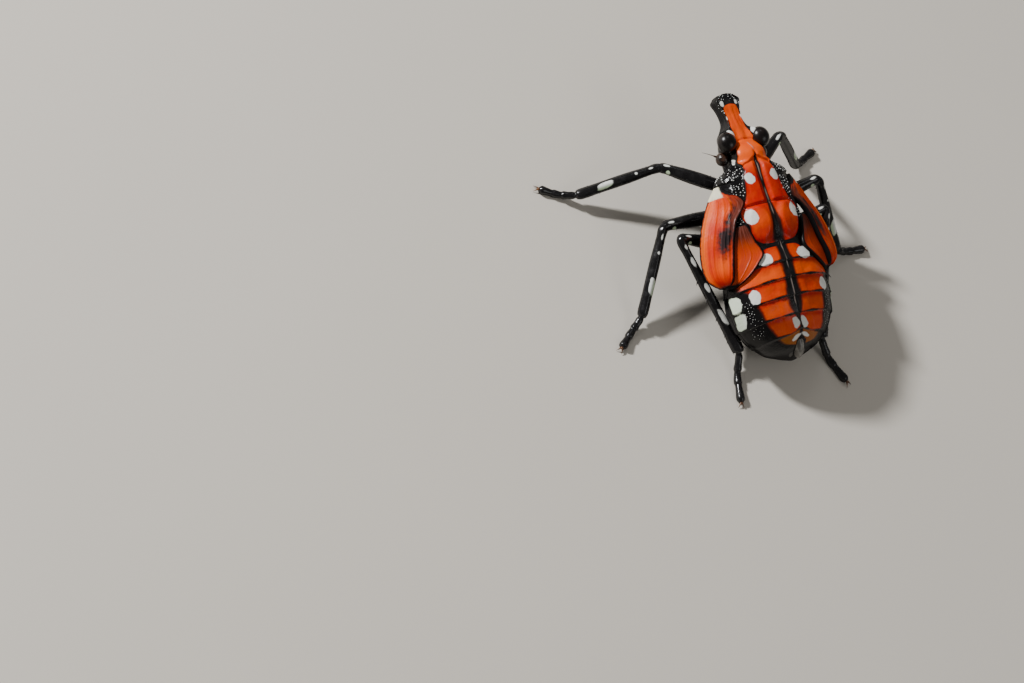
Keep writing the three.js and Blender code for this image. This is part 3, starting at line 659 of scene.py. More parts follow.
def bodyRelief(s, x, angle):
    # all that stands off the plain rings, in millimetres along their normal; bells and ramps of s,
    # of the distance from the midline (ax) or of the turn from the top
    b, r = bodyShape, reliefHeight
    ax = np.abs(x)
    turned = turnedFromTop(angle)
    upper = smooth(-0.25, 0.15, np.cos(angle))
    lift = np.zeros_like(s)
    # pronotum: domed disc with a carina that sinks to a groove, lobes that overlap the mesonotum
    rear = curveThrough(b["rearEdge"], ax)
    discEdge = curveThrough(b["discHalf"], s)
    inside = np.minimum(discEdge - ax, (rear - s) * 1.2)
    dome = np.sqrt(np.clip(1 - (ax / np.maximum(discEdge, 0.02)) ** 4, 0, 1)) * smooth(-0.8, -0.3, s)
    lift += r["disc"] * dome * (1 - 0.85 * smooth(-0.3, 0.35, s)) * upper
    lift += r["discRim"] * smooth(0.0, 0.06, inside) * upper
    oblique = bump1(ax, 0.42 + 0.2 * smooth(-0.6, 0.3, s), 0.12) * smooth(-0.6, -0.3, s)
    lift += r["discRidge"] * oblique * fade(0.0, 0.3, s) * upper
    lift += r["discCarina"] * bump1(x, 0, 0.045) * smooth(-0.72, -0.55, s) * fade(-0.35, -0.1, s) * upper
    lift -= r["discGroove"] * bump1(x, 0, 0.06) * smooth(-0.35, -0.05, s) * fade(0.12, 0.22, s) * upper
    lobe = fade(-0.02, 0.03, s - rear) * smooth(-0.4, 0.1, s)
    lift += r["pronotumStep"] * lobe * upper
    # thorax: a groove with a carina on the midline, cushions beside it
    thorax = smooth(0.2, 0.4, s) * fade(4.25, 4.4, s)
    lift -= r["thoraxGroove"] * bump1(x, 0, 0.17) * thorax * upper
    lift += r["thoraxCarina"] * bump1(x, 0, 0.035) * thorax * upper
    meta = b["metanotumFront"]
    panelEdge = 0.78 + 0.2 * np.maximum(s - 0.5, 0)
    panel = smooth(0.16, 0.32, ax) * fade(-0.04, 0.2, ax - panelEdge)
    panelRear = fade(-0.14, -0.02, s - meta - 0.03 * ax)
    lift += r["mesonotumPanel"] * panel * smooth(-0.02, 0.3, s - rear) * panelRear * upper
    lobeFar = np.hypot((s - 3.42) / 1.1, (ax - 0.84) / 0.68)
    lift += r["metanotumLobe"] * fade(0.62, 1.06, lobeFar) * smooth(0.0, 0.12, s - meta - 0.02) * upper
    lift -= r["metanotumCrease"] * bump1(s, meta + 0.03 * ax, 0.03) * fade(1.4, 1.7, ax) * upper
    lift += r["rearKnob"] * bump1(s, 4.5, 0.09) * bump1(ax, 0.14, 0.08) * upper
    # wing bases: a ridge runs back beside the panels under the pads' inner edges
    wingBase = bump1(ax, 1.5 + 0.06 * s, 0.12) * smooth(1.3, 1.6, s) * fade(3.6, 4.2, s)
    lift += r["wingBase"] * wingBase * upper
    # tergites rise to their rear edge and step down to the next
    edges = (b["abdomenFront"],) + b["tergiteEdges"]
    side = np.sin(angle) ** 2
    for k in range(len(edges) - 1):
        front = edges[k] + (b["tergiteBow"] if k else 0.12) * side
        behind = edges[k + 1] + b["tergiteBow"] * side - lastEdgePeak(ax, k == len(edges) - 2)
        t = (s - front) / (behind - front)
        rise = np.where(t >= 0, 0.2 + 0.8 * np.clip(t, 0, 1) ** 1.5, 0) * fade(0.0, 0.025, s - behind)
        lift += r["tergiteStep"] * rise * (0.55 + 0.45 * smooth(-0.5, 0.0, np.cos(angle)))
    abdomen = smooth(4.7, 4.9, s) * fade(8.3, 8.6, s)
    lift += r["abdomenCarina"] * bump1(x, 0, 0.04) * abdomen * upper
    # shallow dents beside the midline of each tergite and a fold where back and belly plates meet
    for k in range(1, len(edges) - 1):
        dent = bump1(s, (edges[k] + edges[k + 1]) / 2 + 0.1, 0.2)
        lift -= r["tergiteDent"] * dent * bump1(ax, 1.15, 0.3) * upper
    lift -= r["sideFold"] * bump1(turned, 1.72, 0.09) * smooth(4.4, 5.2, s) * fade(9.0, 9.6, s)
    lift += r["sideRidge"] * bump1(turned, 1.5, 0.1) * smooth(5.2, 5.8, s) * fade(8.6, 9.4, s)
    # head: a rim round each eye's inner side, a raised plate before it, a hollow between rim and
    # midline, a crease before the disc
    lift += r["eyeRim"] * bump1(ax, 0.56, 0.10) * bump1(s, -0.92, 0.30) * upper
    lift += r["eyePlate"] * bump1(ax, 0.66, 0.17) * bump1(s, -1.22, 0.24) * upper
    lift -= r["crownHollow"] * bump1(ax, 0.26, 0.12) * bump1(s, -1.15, 0.3) * upper
    lift -= r["discCrease"] * bump1(s, -0.86 + 0.25 * ax * ax, 0.05) * fade(0.6, 0.8, ax) * upper
    # horn: keels along its corners, hollow sides, a low carina on top, a raised rim round the tip
    lift += r["hornKeel"] * bump1(turned, 0.79, 0.13) * fade(-1.8, -1.1, s)
    lift += r["lowerKeel"] * bump1(turned, 2.35, 0.18) * fade(-2.2, -1.6, s)
    lift -= r["tipHollow"] * bump1(x, 0, 0.16) * fade(-3.0, -2.72, s) * upper
    lift += r["hornCarina"] * bump1(x, 0, 0.07) * smooth(-2.75, -2.6, s) * fade(-1.6, -1.2, s) * upper
    lift -= r["hornSide"] * bump1(turned, 1.57, 0.3) * fade(-2.1, -1.5, s)
    lift += r["tipRim"] * bump1(s, -3.2, 0.05)
    return lift


markings = {
    # white spots: s, x, half-length along s, half-length round the body
    "spots": [(-2.82, 0.42, 0.16, 0.11), (-2.05, 0.40, 0.10, 0.06), (-1.22, 0.66, 0.21, 0.16),
              (0.15, 0.98, 0.13, 0.14), (1.2, 0.70, 0.27, 0.26), (3.07, 1.27, 0.38, 0.37),
              (5.22, 1.18, 0.31, 0.44), (6.87, 2.02, 0.32, 0.30), (8.49, 0.25, 0.27, 0.19)],
    "plates": [(7.0, 2.82, 0.40, 0.30), (7.86, 2.72, 0.36, 0.28)],
    # slanting stripes behind the last peaked edge: s, x, slope, half-length, half-width
    "stripe": (9.1, 0.30, 0.4, 0.24, 0.10),
    # dots along the belly: s, radius; turn from the top; the belly's rough radius in millimetres
    "bellyDots": [(s, 0.10) for s in (5.1, 5.8, 6.5, 7.2, 7.9, 8.5)], "bellyTurn": 2.05, "bellyRadius": 2.4,
    # half-width of the orange and red ground, past which the cuticle is black
    "ground": [(-3.42, -0.3), (-2.80, -0.14), (-2.70, 0.28), (-2.5, 0.40), (-2.2, 0.40), (-1.8, 0.40),
               (-1.3, 0.44), (-0.9, 0.56), (-0.6, 0.68), (-0.3, 0.76), (0.3, 0.86), (0.6, 0.78),
               (1.1, 0.94), (1.6, 1.02), (2.2, 1.2), (2.6, 1.5), (3.0, 1.6), (3.4, 1.42), (4.0, 1.38),
               (4.3, 1.12), (4.46, 0.75), (4.52, -0.1), (4.66, -0.1), (4.72, 0.9), (5.2, 1.3),
               (5.46, 1.7), (5.52, 2.5), (6.2, 2.7), (6.4, 2.4), (6.9, 2.1), (7.14, 2.05), (7.4, 1.95),
               (7.9, 1.85), (8.2, 1.75), (8.7, 1.55), (9.0, 1.3), (9.3, 0.9), (9.45, 0.3), (9.5, -0.3)],
    # half-width of the black line on the midline, and of the smoky brown that shades into it
    "median": [(-0.3, -0.08), (-0.15, -0.01), (0.2, 0.06), (0.5, 0.09), (1.0, 0.07), (1.6, 0.04),
               (2.4, 0.04), (3.2, 0.09), (4.1, 0.18), (4.6, 0.22), (5.4, 0.20), (6.0, 0.24),
               (6.6, 0.28), (7.3, 0.26), (7.8, 0.16), (8.1, 0.02), (8.3, -0.02), (8.8, 0.02),
               (9.0, 0.06), (9.3, 0.3)],
    "smoke": [(-0.3, 0.0), (0.2, 0.08), (0.6, 0.17), (1.6, 0.12), (2.4, 0.15), (3.4, 0.28), (4.3, 0.42),
              (5.2, 0.38), (5.4, 0.46), (6.2, 0.42), (6.9, 0.54), (7.5, 0.52), (7.9, 0.36),
              (8.2, 0.14), (9.0, 0.14)],
    # how red the ground is
    "warm": [(-3.3, 0.1), (-1.2, 0.25), (-0.8, 0.05), (0.2, 0.15), (0.6, 0.6), (1.7, 0.9), (2.5, 0.9),
             (3.1, 0.45), (4.2, 0.95), (4.7, 0.8), (5.2, 0.5), (6.0, 0.25), (6.8, 0.5), (7.6, 0.4),
             (8.6, 0.35)],
    "edgeLine": 0.045,
}


def spotDistance(s, arc, centre, arcCentre, rs, ra):
    # signed distance to an ellipse, scaled by its smaller half-axis
    return (1 - np.hypot((s - centre) / rs, (arc - arcCentre) / ra)) * min(rs, ra)


def bodyMarkings(s, x, angle, arc):
    # distances in millimetres, inside positive; masks from nought to one
    m, b = markings, bodyShape
    ax, aArc = np.abs(x), np.abs(arc)
    turned = turnedFromTop(angle)
    stations, upperRight = s[:, 0], (angle[0] >= 0) & (np.cos(angle[0]) > 0)

    def arcOf(station, across):
        # way round the back at which a point lies this far from the midline
        row = int(np.argmin(np.abs(stations - station)))
        order = np.argsort(x[row][upperRight])
        return float(np.interp(across, x[row][upperRight][order], aArc[row][upperRight][order]))

    white = np.full_like(s, -1.0)
    for station, across, rs, ra in m["spots"]:
        white = np.maximum(white, spotDistance(s, aArc, station, arcOf(station, across), rs, ra))
    for station, across, rs, ra in m["plates"]:
        # squarish plates, narrower towards the rear
        along = (s - station) / rs
        about = (aArc - arcOf(station, across)) / (ra * (1.1 - 0.25 * (s - station)))
        box = (along ** 4 + about ** 4) ** 0.25
        white = np.maximum(white, (1 - box) * min(rs, ra))
    station, across, slope, rs, ra = m["stripe"]
    run = ax - across
    white = np.maximum(white, (1 - np.hypot(run / rs, (s - station - slope * run) / ra)) * ra)
    for station, radius in m["bellyDots"]:
        about = (turned - m["bellyTurn"]) / (radius / m["bellyRadius"])
        white = np.maximum(white, (1 - np.hypot((s - station) / radius, about)) * radius)
    # the ground's edge bows with the tergites; neck, horn sides and belly are black
    bow = b["tergiteBow"] * np.sin(angle) ** 2
    groundLine = curveThrough(m["ground"], s - bow * smooth(4.9, 5.5, s))
    black = ax - groundLine
    below = np.cos(angle) < 0.05 + 0.5 * smooth(-1.4, -1.9, s) + 0.3 * bump1(s, -0.5, 0.4)
    black = np.where(below, np.maximum(black, 0.2), black)
    black = np.maximum(black, curveThrough(m["median"], s) - ax)
    for k, edge in enumerate(b["tergiteEdges"]):
        peak = lastEdgePeak(ax, k == len(b["tergiteEdges"]) - 1)
        lineHalf = m["edgeLine"] + 0.02 * np.sin(5 * x + 2 * k)
        black = np.maximum(black, lineHalf - np.abs(s - edge - bow + peak + 0.01))
    smokeHalf = np.maximum(curveThrough(m["smoke"], s), 0.01)
    smoke = smooth(1.25, 0.45, ax / smokeHalf) * smooth(-0.3, 0.1, s)
    smoke = np.maximum(smoke, 0.9 * smooth(0.28, 0.0, groundLine - ax) * smooth(4.9, 5.5, s))
    smoke = np.maximum(smoke, 0.6 * smooth(0.12, 0.0, groundLine - ax) * smooth(0.4, 0.8, s))
    warm = curveThrough(m["warm"], s)
    for edge in b["tergiteEdges"]:
        warm = warm + 0.5 * bump1(s - bow, edge + 0.12, 0.12)
    warm = warm + 0.4 * smooth(0.2, 0.0, np.abs(groundLine - ax)) * smooth(0.4, 1, s)
    # painted highlight: a pale line along the carina, whole on the disc and broken behind it
    onRidge = smooth(0.05, 0.015, np.abs(x)) * (np.cos(angle) > 0)
    broken = 0.5 + 0.5 * np.sin(2.9 * s + 1.2 * np.sin(4.1 * s))
    carinaHighlightLine = onRidge * np.maximum(smooth(-0.72, -0.6, s) * smooth(-0.1, -0.3, s),
                                  smooth(0.4, 0.6, s) * smooth(8.1, 7.9, s) * broken)
    amber = smooth(8.92, 9.0, s - bow + lastEdgePeak(ax, True))
    green = smooth(2.45, 2.75, ax) * 0.6
    return {"white": white, "black": black, "warm": np.clip(warm, 0, 1), "amber": amber, "green": green,
            "smoke": smoke, "carinaHighlightLine": carinaHighlightLine}


def bodySurface():
    # rings of the section, moved along their normal by the relief; points crowd towards the back
    b = bodyShape
    rows, count = ((430, 216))
    s = np.linspace(b["front"], b["rear"], rows)[:, None] * np.ones(count)
    w = np.linspace(-1, 1, count, endpoint=False)
    angle = (math.pi * (0.6 * w + 0.4 * w * np.abs(w)))[None, :] * np.ones((rows, 1))
    x, h = sectionPoint(s, angle)
    waist = curveThrough(bodyLines["waist"], s)
    half = curveThrough(bodyLines["half"], s)
    reach = np.where(h > waist, curveThrough(bodyLines["top"], s) - waist,
                     waist - curveThrough(bodyLines["bottom"], s))
    nx, nh = x / half ** 2, (h - waist) / reach ** 2
    size = np.hypot(nx, nh) + 1e-9
    swayed = curveThrough(b["sway"], s) * np.cos(angle)
    lift = bodyRelief(s, x - swayed, angle)
    px, ph = x + nx / size * lift, h + nh / size * lift
    # both ends are rounded in: radius times the root of one minus the squared way to the end
    rear = np.clip((s - (b["rear"] - b["rearRound"])) / b["rearRound"], 0, 1)
    front = np.clip((b["front"] + b["tipBevel"] - s) / b["tipBevel"], 0, 1)
    shrink = np.sqrt(1 - 0.96 * rear ** 2) * (1 - 0.14 * front ** 2)
    px, ph = px * shrink, waist + (ph - waist) * shrink
    points = np.stack([px + curveThrough(b["tailBend"], s), s, ph], -1)
    steps = np.linalg.norm(np.diff(points, axis=1, prepend=points[:, -1:]), axis=-1)
    arc = np.cumsum(steps, 1)
    middle = int(np.argmin(np.abs(w)))
    arc = arc - arc[:, middle:middle + 1]
    return points, bodyMarkings(s, px - swayed, angle, arc - swayed)


bodyPoints, bodyLayers = bodySurface()
bodyMesh = gridMesh("body_skin", onBody(bodyPoints), attributes=bodyLayers, flip=True)
place("body_skin", bodyMesh, skinLook, "red_cuticle",
      ("head", "pronotum", "mesonotum", "metanotum", "abdomen", "abdomen_tip"))
print("body skin made")


granules = {
    # patches of small shiny grains, painted pale for the highlights they catch: s range, x range, count,
    # radius
    "patches": [(0.45, 1.0, 0.92, 1.3, 13, 0.037), (0.5, 1.1, 1.35, 2.0, 22, 0.04),
                (1.3, 2.0, 1.08, 1.62, 24, 0.034), (2.0, 2.6, 1.3, 1.55, 8, 0.03),
                (2.95, 3.5, 1.55, 1.9, 15, 0.034), (7.0, 7.9, 2.1, 2.5, 24, 0.024),
                (7.9, 8.8, 1.8, 2.3, 24, 0.022), (-3.28, -3.0, 0.12, 0.5, 9, 0.028),
                (-2.9, -2.3, 0.5, 0.62, 7, 0.026)],
    "rings": ((1.0, -0.35), (0.95, 0.2), (0.62, 0.62), (0.25, 0.78)),  # width and rise, in radii
    "sides": 10, "sink": 0.012,
}


def scatter(low, high, count, tries=30):
    # evenly loose places: each new one is the farthest from those before it out of many tries
    low, high = np.array(low), np.array(high)
    kept = [low + (high - low) * rng.random(2)]
    for _ in range(count - 1):
        guesses = low + (high - low) * rng.random((tries, 2))
        away = np.linalg.norm(guesses[:, None] - np.array(kept)[None], axis=-1).min(1)
        kept.append(guesses[int(np.argmax(away))])
    return np.array(kept)


def grainShape(centre, normal, radius):
    # low dome of four rings, closed below and above, rooted under the skin
    axis = np.array([normal[1], -normal[0], 0.0]) if abs(normal[2]) < 0.95 else np.array([1.0, 0, 0])
    across = np.cross(normal, axis)
    across /= np.linalg.norm(across)
    over = np.cross(normal, across)
    rings, sides = granules["rings"], granules["sides"]
    turn = roundTurns(sides)[:, None]
    ring = np.cos(turn) * across + np.sin(turn) * over
    points = np.vstack([centre + radius * (size * ring + rise * normal) for size, rise in rings])
    faces = []
    for r in range(len(rings) - 1):
        for k in range(sides):
            a, b = r * sides + k, r * sides + (k + 1) % sides
            faces.append((a, b, b + sides, a + sides))
    faces.append(tuple(reversed(range(sides))))
    faces.append(tuple(range((len(rings) - 1) * sides, len(rings) * sides)))
    return points, faces


def makeGranules():
    # each grain sits on the nearest point of the body grid
    flat = bodyPoints.reshape(-1, 3)
    across = np.roll(bodyPoints, -1, 1) - np.roll(bodyPoints, 1, 1)
    normals = np.cross(np.gradient(bodyPoints, axis=0), across).reshape(-1, 3)
    normals /= np.linalg.norm(normals, axis=1, keepdims=True) + 1e-12
    waist = curveThrough(bodyLines["waist"], flat[:, 1])
    outward = np.stack([flat[:, 0], 0 * waist, flat[:, 2] - waist], 1)
    normals *= np.sign((normals * outward).sum(1, keepdims=True))
    upper = flat[:, 2] > waist
    shapes = []
    for s0, s1, x0, x1, count, radius in granules["patches"]:
        for side in (1, -1):
            for s, x in scatter((s0, x0), (s1, x1), count):
                sway = curveThrough(bodyShape["sway"], s)
                away = np.where(upper, np.hypot(flat[:, 0] - side * x - sway, flat[:, 1] - s), 9.0)
                k = int(np.argmin(away))
                size = radius * rng.uniform(0.75, 1.15)
                points, faces = grainShape(flat[k] - normals[k] * granules["sink"], normals[k], size)
                shapes.append((onBody(points), faces))
    place("granules", joinShapes("granules", shapes), glintGranuleLook, "red_cuticle")


makeGranules()
print("granules made")


# wing pads

forePad = {
    # edges, rise of the inner edge over the back and height of the outer edge, each by s;
    # veins as share of the width at the front and at the rear, and height
    "front": 1.2, "rear": 6.1, "thickness": 0.46, "rim": 0.2, "crown": 0.2,
    "outer": [(1.2, 2.28), (1.73, 2.74), (2.86, 3.42), (3.84, 3.84), (4.91, 4.06), (5.58, 3.96),
              (5.94, 3.58), (6.1, 3.1)],
    "inner": [(1.2, 2.06), (1.5, 1.92), (1.9, 1.62), (2.25, 1.42), (2.8, 1.48), (3.78, 1.70), (4.91, 1.98),
              (5.53, 2.30), (5.94, 2.68), (6.1, 2.98)],
    "rise": [(1.2, 0.02), (2.25, 0.14), (3.78, 0.32), (6.1, 0.42)],
    "outerHeight": [(1.2, -0.95), (2.66, -1.16), (4.91, -1.2), (6.1, -1.12)],
    "veins": [(0.2, 0.14, 0.030), (0.40, 0.50, 0.028), (0.54, 0.64, 0.024), (0.7, 0.8, 0.024)],
    # share of the width that is left free at the inner side, by the way along the pad
    "cut": [(0.0, 0.0), (0.2, 0.0), (0.3, 0.16), (0.37, 0.27), (0.51, 0.32), (0.68, 0.34), (0.83, 0.36),
            (1.0, 0.3)],
}
hindPad = {
    "front": 3.37, "rear": 6.18, "thickness": 0.34, "rim": 0.2, "crown": 0.04,
    "outer": [(3.37, 2.35), (3.7, 2.62), (4.54, 2.95), (5.27, 3.2), (5.9, 3.3), (6.18, 3.1)],
    "outerHeight": [(3.37, -0.5), (3.7, -0.55), (4.54, -0.68), (5.27, -0.8), (6.18, -1.05)],
    "inner": [(3.37, 1.62), (4.19, 1.42), (4.86, 1.24), (5.32, 1.62), (5.83, 2.2), (6.18, 2.72)],
    "rise": [(3.37, 0.16), (6.18, 0.26)],
    "veins": [(0.3, 0.35, 0.02)],
    "cut": [(0.0, 0.0), (1.0, 0.0)],
}

padEdge = {"veinWidth": 0.022, "bead": 0.035, "rounding": 0.12}


def padSurface(pad, side):
    # across each station the upper face bows from inner to outer edge by a half sine, the lower face
    # lies under it by a thickness that is thin at both edges; veins and rim are raised on the upper face
    rows, across = 90, 56
    t = 0.5 - 0.5 * np.cos(math.pi * np.linspace(0, 1, rows))[:, None]
    upper = np.linspace(0, 1, across + 1)[None, :]
    lower = np.linspace(1, 0, across // 2 + 1)[None, 1:-1]
    s = pad["front"] + (pad["rear"] - pad["front"]) * t
    inner, outer = curveThrough(pad["inner"], s), curveThrough(pad["outer"], s)
    innerHeight = backHeight(s, inner) + curveThrough(pad["rise"], s)
    outerHeight = curveThrough(pad["outerHeight"], s)
    slope = np.arctan2(innerHeight - outerHeight, outer - inner)
    cut = curveThrough(pad["cut"], t)

    def faceAt(f, depth):
        f = cut + (1 - cut) * f * np.ones_like(s)
        x = inner + (outer - inner) * f
        h = innerHeight + (outerHeight - innerHeight) * f + pad["crown"] * np.sin(math.pi * f)
        sunk = h - depth * np.cos(slope)
        return np.stack([side * (x - depth * np.sin(slope)), s * np.ones_like(f), sunk], -1)

    lift = np.zeros((rows, across + 1))
    for start, end, height in pad["veins"]:
        vein = bump1(cut + (1 - cut) * upper, start + (end - start) * t, padEdge["veinWidth"])
        lift += height * vein * smooth(0.05, 0.2, t) * fade(0.85, 0.97, t)
    width = np.maximum((outer - inner) * (1 - cut), 0.05)
    edge = np.minimum(upper, 1 - upper) * width
    lift += padEdge["bead"] * bump1(edge, 0.07, 0.05)
    toEdge = 1 - np.clip(edge / padEdge["rounding"], 0, 1)
    rounding = 0.5 * pad["rim"] * (1 - np.sqrt(np.clip(1 - toEdge ** 2, 0, 1)))
    top = faceAt(upper, -lift + rounding)
    depth = pad["rim"] + (pad["thickness"] - pad["rim"]) * np.sin(math.pi * lower)
    under = faceAt(lower, depth * np.ones_like(s))
    points = np.concatenate([top, under], 1)
    # share of the width, way along the pad and face of each point
    f = np.concatenate([upper * np.ones_like(s), lower * np.ones_like(s)], 1)
    tt = t * np.ones_like(f)
    isUnder = np.concatenate([np.zeros_like(upper), np.ones_like(lower)], 1) * np.ones_like(s)
    return points, f, tt, isUnder, width


padMarks = {
    # distances and sizes in millimetres, places along as s
    "outerRim": 0.055, "rearRim": 0.06, "padLength": 2.2,
    "base": {"s": 1.5, "length": 1.5, "width": 1.4, "reach": 0.24},
    "blotches": [(3.85, 0.72, 0.3), (3.0, 0.7, 0.12)], "blotchShare": 0.3,
    "hindRim": 0.11, "hindLength": 1.5,
}


def padMarkings(points, f, t, under, width):
    # black rim and inner band, dark blotches in the middle, cream patch at the shoulder;
    # f runs from the inner to the outer edge, t from the front to the rear
    m, s, across = padMarks, points[..., 1], f * width
    band = 0.05 + 0.07 * smooth(0.3, 0.55, t)
    black = np.maximum(band - across, m["outerRim"] - (1 - f) * width)
    black = np.maximum(black, m["rearRim"] - (1 - t) * m["padLength"])
    base = m["base"]
    corner = base["reach"] - np.hypot((s - base["s"]) / base["length"], across / base["width"])
    black = np.maximum(black, corner * 0.8)
    black = np.where(under > 0.5, 0.2, black)
    centre = m["blotchShare"] * width
    blotch = np.full_like(f, -1.0)
    for place, halfLength, halfWidth in m["blotches"]:
        oval = np.hypot((s - place) / halfLength, (across - centre) / halfWidth)
        blotch = np.maximum(blotch, (1 - oval) * halfWidth)
    shade = smooth(0.5, 0.12, f) * smooth(0.06, 0.2, t) * fade(0.42, 0.72, t) * 0.95
    warm = 0.75 + 0.25 * smooth(0.75, 1.0, t) - 0.6 * bump1(t, 0.78, 0.12) * bump1(f, 0.4, 0.25)
    warm = warm - 0.7 * smooth(0.74, 0.9, f) - 0.3 * bump1(t, 0.25, 0.1)
    pale = 0.7 * bump1(f, 0.92, 0.04) * smooth(0.12, 0.25, t) * fade(0.75, 0.95, t)
    streak = 0.5 * bump1(f, 0.32 + 0.3 * t, 0.03) * bump1(t, 0.14, 0.07)
    white = np.minimum((0.115 - t) * 4.0, (f - 0.5) * width * 0.7)
    white = np.where(under > 0.5, -1.0, white)
    return {"black": black, "blotch": blotch, "shade": shade, "warm": warm, "pale": pale + streak,
            "white": white}


def hindPadMarkings(f, t, under, width):
    # black rim and underside, brown towards the front
    edge = np.minimum(f * width, (1 - t) * padMarks["hindLength"])
    none = -np.ones_like(f)
    return {"black": np.where(under > 0.5, 0.2, padMarks["hindRim"] - edge), "blotch": none,
            "shade": 0.3 + 0.7 * smooth(0.5, 0.12, t), "warm": 0.5 * np.ones_like(f),
            "pale": np.zeros_like(f), "white": none}


def makePads():
    for name, side in (("left", 1), ("right", -1)):
        points, f, t, under, width = padSurface(forePad, side)
        layers = padMarkings(points, f, t, under, width)
        mesh = gridMesh("forewing_" + name, onBody(points), attributes=layers, uv=np.stack([f, t], -1),
                        flip=side < 0)
        place("forewing_skin_" + name, mesh, padLook, "wing_pad", ("forewing_pad_" + name,))
        points, f, t, under, width = padSurface(hindPad, side)
        layers = hindPadMarkings(f, t, under, width)
        mesh = gridMesh("hindwing_" + name, onBody(points), attributes=layers, uv=np.stack([f, t], -1),
                        flip=side < 0)
        place("hindwing_skin_" + name, mesh, padLook, "wing_pad", ("hindwing_pad_" + name,))


makePads()
print("wing pads made")


# eyes, feelers and beak

def ballSurface(centre, radii, rows=48, count=64, swell=None):
    # ellipsoid: polar angle down the rows, turn round each row
    polar = np.linspace(0.02, math.pi - 0.02, rows)[:, None]
    turn = roundTurns(count)[None, :]
    unit = np.stack([np.sin(polar) * np.cos(turn), np.sin(polar) * np.sin(turn),
                     np.cos(polar) * np.ones_like(turn)], -1)
    scale = 1.0 if swell is None else (1 + swell(unit))[..., None]
    return np.asarray(centre) + unit * np.asarray(radii) * scale


def tubeSurface(path, radii, count=24):
    # rings square to a path, with a radius at each point of it or one for each point of each ring
    path = np.asarray(path, float)
    tangent = np.gradient(path, axis=0)
    tangent /= np.linalg.norm(tangent, axis=1, keepdims=True)
    upright = np.where(np.abs(tangent[:, 2:3]) > 0.95, np.array([0, 1.0, 0]), np.array([0, 0, 1.0]))
    across = np.cross(tangent, upright)
    across /= np.linalg.norm(across, axis=1, keepdims=True)
    over = np.cross(across, tangent)
    turn = roundTurns(count)
    radii = np.asarray(radii, float)
    if radii.ndim == 1:
        radii = radii[:, None] * np.ones(count)
    return (path[:, None, :] + across[:, None, :] * (radii * np.sin(turn))[..., None]
            + over[:, None, :] * (radii * np.cos(turn))[..., None])


def splineThrough(points, count):
    # smooth path through a few points, by their running distance
    points = np.asarray(points, float)
    run = np.concatenate([[0], np.cumsum(np.linalg.norm(np.diff(points, axis=0), axis=1))])
    at = np.linspace(0, run[-1], count)
    path = np.stack([curveThrough(np.stack([run, points[:, k]], 1), at) for k in range(3)], 1)
    return path, at / run[-1]


headParts = {
    "eyeCentre": (1.0, -0.82, -0.57), "eyeRadii": (0.49, 0.53, 0.46),
    "bulb": (1.17, -0.16, -1.1), "bulbRadii": (0.32, 0.34, 0.32), "pitDepth": 0.03, "pitWaves": 26,
    "scapeRoot": (0.6, -0.35, -1.25), "scapeRadius": 0.2,
    "bristleTip": (1.9, -0.75, -1.55), "bristleBow": (0.05, -0.03, 0.06), "bristleRadius": 0.035,
    "beakPath": [(0, -1.35, -1.8), (0, -0.75, -2.3), (0, 0.1, -2.5), (0, 1.6, -2.52), (0, 3.3, -2.62)],
    "beakRadii": [(0, 0.40), (0.15, 0.34), (0.35, 0.22), (0.7, 0.19), (0.97, 0.12), (1, 0.05)],
}


def dimples(unit):
    # small pits all over the bulb: the product of a sine along each axis
    waves = np.sin(unit * headParts["pitWaves"])
    return headParts["pitDepth"] * waves[..., 0] * waves[..., 1] * waves[..., 2]


def makeHeadParts():
    p = headParts
    for name, side in (("left", 1), ("right", -1)):
        flip = np.array([side, 1, 1])
        eye = ballSurface(np.array(p["eyeCentre"]) * flip, p["eyeRadii"])
        placeGrid("eye_ball_" + name, eye, eyeLook, "eye_black", ("eye_" + name,))
        bulb = ballSurface(np.array(p["bulb"]) * flip, p["bulbRadii"], swell=dimples)
        placeGrid("feeler_bulb_" + name, bulb, brownLook, "antenna_brown", ("antenna_" + name,))
        scape, t = splineThrough(np.array([p["scapeRoot"], p["bulb"]]) * flip, 12)
        root = tubeSurface(scape, np.full(len(t), p["scapeRadius"]))
        placeGrid("feeler_root_" + name, root, brownLook, "antenna_brown")
        middle = (np.array(p["bulb"]) + p["bristleTip"]) / 2 + p["bristleBow"]
        bristle, t = splineThrough(np.array([p["bulb"], middle, p["bristleTip"]]) * flip, 24)
        radii = p["bristleRadius"] * (1 - 0.85 * t) + 0.03 * bump1(t, 0.36, 0.06)
        placeGrid("feeler_bristle_" + name, tubeSurface(bristle, radii, 10), brownLook, "antenna_brown")
    path, t = splineThrough(p["beakPath"], 60)
    beak = tubeSurface(path, curveThrough(p["beakRadii"], t), 28)
    placeGrid("beak", beak, blackLook, "black_cuticle", ("rostrum",))


tailTube = {
    # short grey tube under the last peaked edge, with the dark plates that clasp it
    "path": [(-0.24, 9.15, -1.12), (-0.28, 9.6, -1.28), (-0.32, 9.98, -1.62)],
    "radii": [(0, 0.26), (0.6, 0.24), (0.9, 0.2), (1, 0.12)],
    "plates": [(0.34, 0.16), (-0.34, 0.16)],  # how far aside, radius
}


def makeTailTube():
    path, t = splineThrough(tailTube["path"], 30)
    tube = tubeSurface(path, curveThrough(tailTube["radii"], t), 28)
    placeGrid("tail_tube", tube, greyLook, "black_cuticle")
    for name, (across, radius) in zip(("left", "right"), tailTube["plates"]):
        clasp, t = splineThrough([(p[0] + across, p[1] - 0.1, p[2] - 0.22) for p in tailTube["path"]], 24)
        radii = radius * np.sqrt(np.clip(1 - (2 * t - 1) ** 2, 0.02, 1)) * 1.3
        placeGrid("tail_plate_" + name, tubeSurface(clasp, radii, 20), blackLook, "black_cuticle")


makeHeadParts()
makeTailTube()
print("head and tail parts made")


# legs

